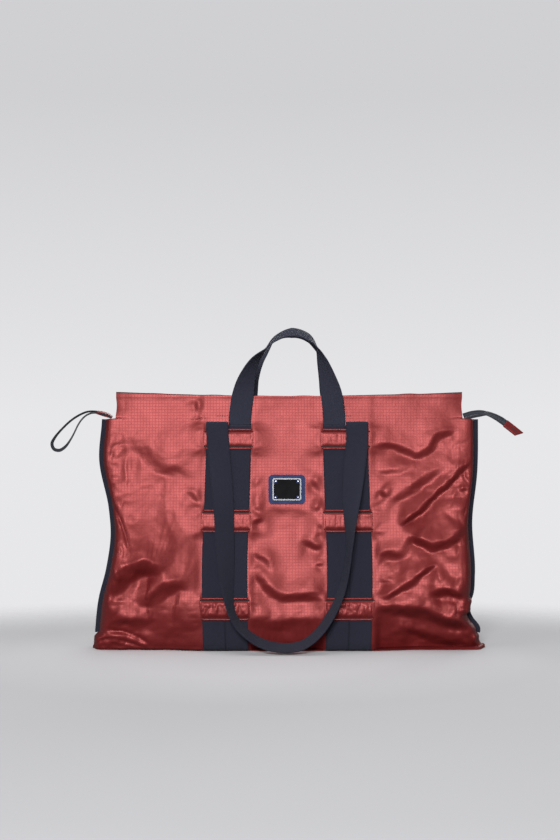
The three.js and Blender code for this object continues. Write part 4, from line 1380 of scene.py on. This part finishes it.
def ribbon_loop():
    centres, _ = catmull_rom([(x, 0.0, z) for x, z in RIBBON_ROUTE], 8)
    tangents = directions_along(centres)
    along = lengths_along(centres)
    lean = np.radians(26 + 52 * np.exp(-((along / along[-1] - 0.53) / 0.10) ** 2))
    level = np.tile([0.0, -1.0, 0.0], (len(centres), 1))
    in_plane = np.cross(tangents, level)
    across = level * np.cos(lean)[:, None] + in_plane * np.sin(lean)[:, None]
    through = np.cross(tangents, across)
    section = band_section(RIBBON_WIDTH, 0.0009)
    piece = band_piece("ribbon_loop_weave", (centres, across, through, along), section, [navy_ribbon])
    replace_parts(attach(piece, "root"), "ribbon_loop")


# Floor, light and camera

CAMERA_PLACE = (-0.0135, -2.5, 0.34)
CAMERA_LENS = 71.43
SENSOR = 36.0


def studio():
    scene = bpy.context.scene
    scene.view_settings.view_transform = "Standard"
    world = bpy.data.worlds.new("studio")
    scene.world = world
    world.use_nodes = True
    tree = world.node_tree
    seen = tree.nodes["Background"]
    # Camera rays see a backdrop painted pale at and below the horizon and darker higher up: painted shade on
    # the backdrop.
    direction = tree.nodes.new("ShaderNodeTexCoord")
    height = tree.nodes.new("ShaderNodeSeparateXYZ")
    paleness = tree.nodes.new("ShaderNodeValToRGB")
    paleness.color_ramp.elements[0].color = (0.80, 0.80, 0.82, 1)
    paleness.color_ramp.elements[1].color = (0.63, 0.63, 0.65, 1)
    paleness.color_ramp.elements[1].position = 0.19
    tree.links.new(direction.outputs["Generated"], height.inputs[0])
    tree.links.new(height.outputs[2], paleness.inputs[0])
    tree.links.new(paleness.outputs[0], seen.inputs[0])
    lighting = tree.nodes.new("ShaderNodeBackground")
    lighting.inputs[0].default_value = (0.95, 0.97, 1.0, 1)
    lighting.inputs[1].default_value = 0.09
    path = tree.nodes.new("ShaderNodeLightPath")
    mix = tree.nodes.new("ShaderNodeMixShader")
    tree.links.new(path.outputs["Is Camera Ray"], mix.inputs[0])
    tree.links.new(lighting.outputs[0], mix.inputs[1])
    tree.links.new(seen.outputs[0], mix.inputs[2])
    tree.links.new(mix.outputs[0], tree.nodes["World Output"].inputs[0])

    area_light("key", (-0.42, -4.45, 1.42), (0.0, 0.0, 0.20), (1.3, 0.45), 268.0)
    area_light("left strip", (-3.2, -2.2, 0.95), (0.0, 0.0, 0.20), (2.0, 0.4), 30.0)
    area_light("right strip", (3.0, -2.6, 0.95), (0.0, 0.0, 0.20), (2.4, 0.4), 26.0)
    area_light("overhead", (0.0, -0.3, 2.6), (0.0, 0.0, 0.1), (2.4, 2.4), 26.0)
    area_light("back", (0.7, 3.6, 1.6), (0.0, 0.0, 0.2), (3.4, 1.6), 80.0)


def area_light(name, place, aim, size, power):
    light = bpy.data.lights.new(name, "AREA")
    light.shape = "RECTANGLE"
    light.size, light.size_y = size
    light.energy = power
    lamp = bpy.data.objects.new(name, light)
    bpy.context.scene.collection.objects.link(lamp)
    lamp.location = place
    look_at(lamp, aim)


def look_at(thing, aim):
    direction = Vector(aim) - thing.location
    thing.rotation_mode = "QUATERNION"
    thing.rotation_quaternion = direction.to_track_quat("-Z", "Y")


def floor():
    """A pale floor that fades into the pale surroundings away from the bag. Its colour is a painted pool of
    light: palest near the bag and darker further out.
    """
    centre, radius, rings, sides = (0.0, -0.62), 2.6, 24, 96
    points, faces = [], []
    for k in range(rings + 1):
        for q in range(sides):
            a, r = 2 * math.pi * q / sides, radius * k / rings
            points.append((centre[0] + r * math.cos(a), centre[1] + r * math.sin(a), -0.0001))
    for k in range(rings):
        for q in range(sides):
            a, b = k * sides + q, k * sides + (q + 1) % sides
            faces.append([a, b, b + sides, a + sides][::-1])
    s = Shader("studio floor", (0.60, 0.60, 0.64), 0.9, Specular_IOR_Level=0.0)
    # Painted pool of light: the floor's colour is palest near the bag and darker away from it.
    from_bag = s.node("VectorMath", {0: s.place(), 1: (-0.05, -0.1, 0.0)}, operation="DISTANCE").outputs[1]
    near, mid, far = (0.640, 0.640, 0.660), (0.540, 0.540, 0.555), (0.475, 0.475, 0.49)
    s.colour(from_bag, (0.2, near), (0.42, mid), (1.0, far))
    floor_centre = (centre[0], centre[1], 0.0)
    away = s.node("VectorMath", {0: s.place(), 1: floor_centre}, operation="DISTANCE").outputs[1]
    s.join(s.spread(away, 1.0, 0.0, 0.86, 1.32, smooth=True), s.surface.inputs["Alpha"])
    to_camera = s.node("LightPath").outputs["Is Camera Ray"]
    dim = s.node("BsdfDiffuse", {0: (0.16, 0.16, 0.17, 1)})
    mixed = s.node("MixShader", {0: to_camera, 1: dim.outputs[0], 2: s.surface.outputs[0]})
    s.tree.links.new(mixed.outputs[0], s.tree.nodes["Material Output"].inputs[0])
    piece = mesh_piece("floor", np.array(points), faces, [s.material])
    piece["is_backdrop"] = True


def camera():
    data = bpy.data.cameras.new("camera")
    data.lens = CAMERA_LENS
    data.sensor_width = SENSOR
    data.sensor_fit = "AUTO"
    eye = bpy.data.objects.new("camera", data)
    bpy.context.scene.collection.objects.link(eye)
    eye.location = CAMERA_PLACE
    eye.rotation_euler = (math.radians(90), 0, 0)
    bpy.context.scene.camera = eye


def build():
    camera()
    ribbon_loop()
    for prefix in ("front", "back"):
        face_cloth(prefix)
        for side in (-1, 1):
            web_run(prefix, side, "outer", STRAP_FOLD - 0.0025)
            web_run(prefix, side, "inner", HANDLE_ROOT - 0.0002)
            for level_name in BRIDGE_LEVELS:
                bridge(prefix, side, level_name)
        handle_and_strap(prefix)
    name_plate()
    base_cloth()
    for side in (-1, 1):
        side_binding(side)
        for place in ("outer", "inner"):
            base_web(side, place)
    zip_along_mouth()
    zip_tail()
    start_tab()
    studio()
    floor()


build()

visual_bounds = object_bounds()
({
    "cad": [list(corner) for corner in cad_bounds],
    "visual": [list(corner) for corner in visual_bounds],
})
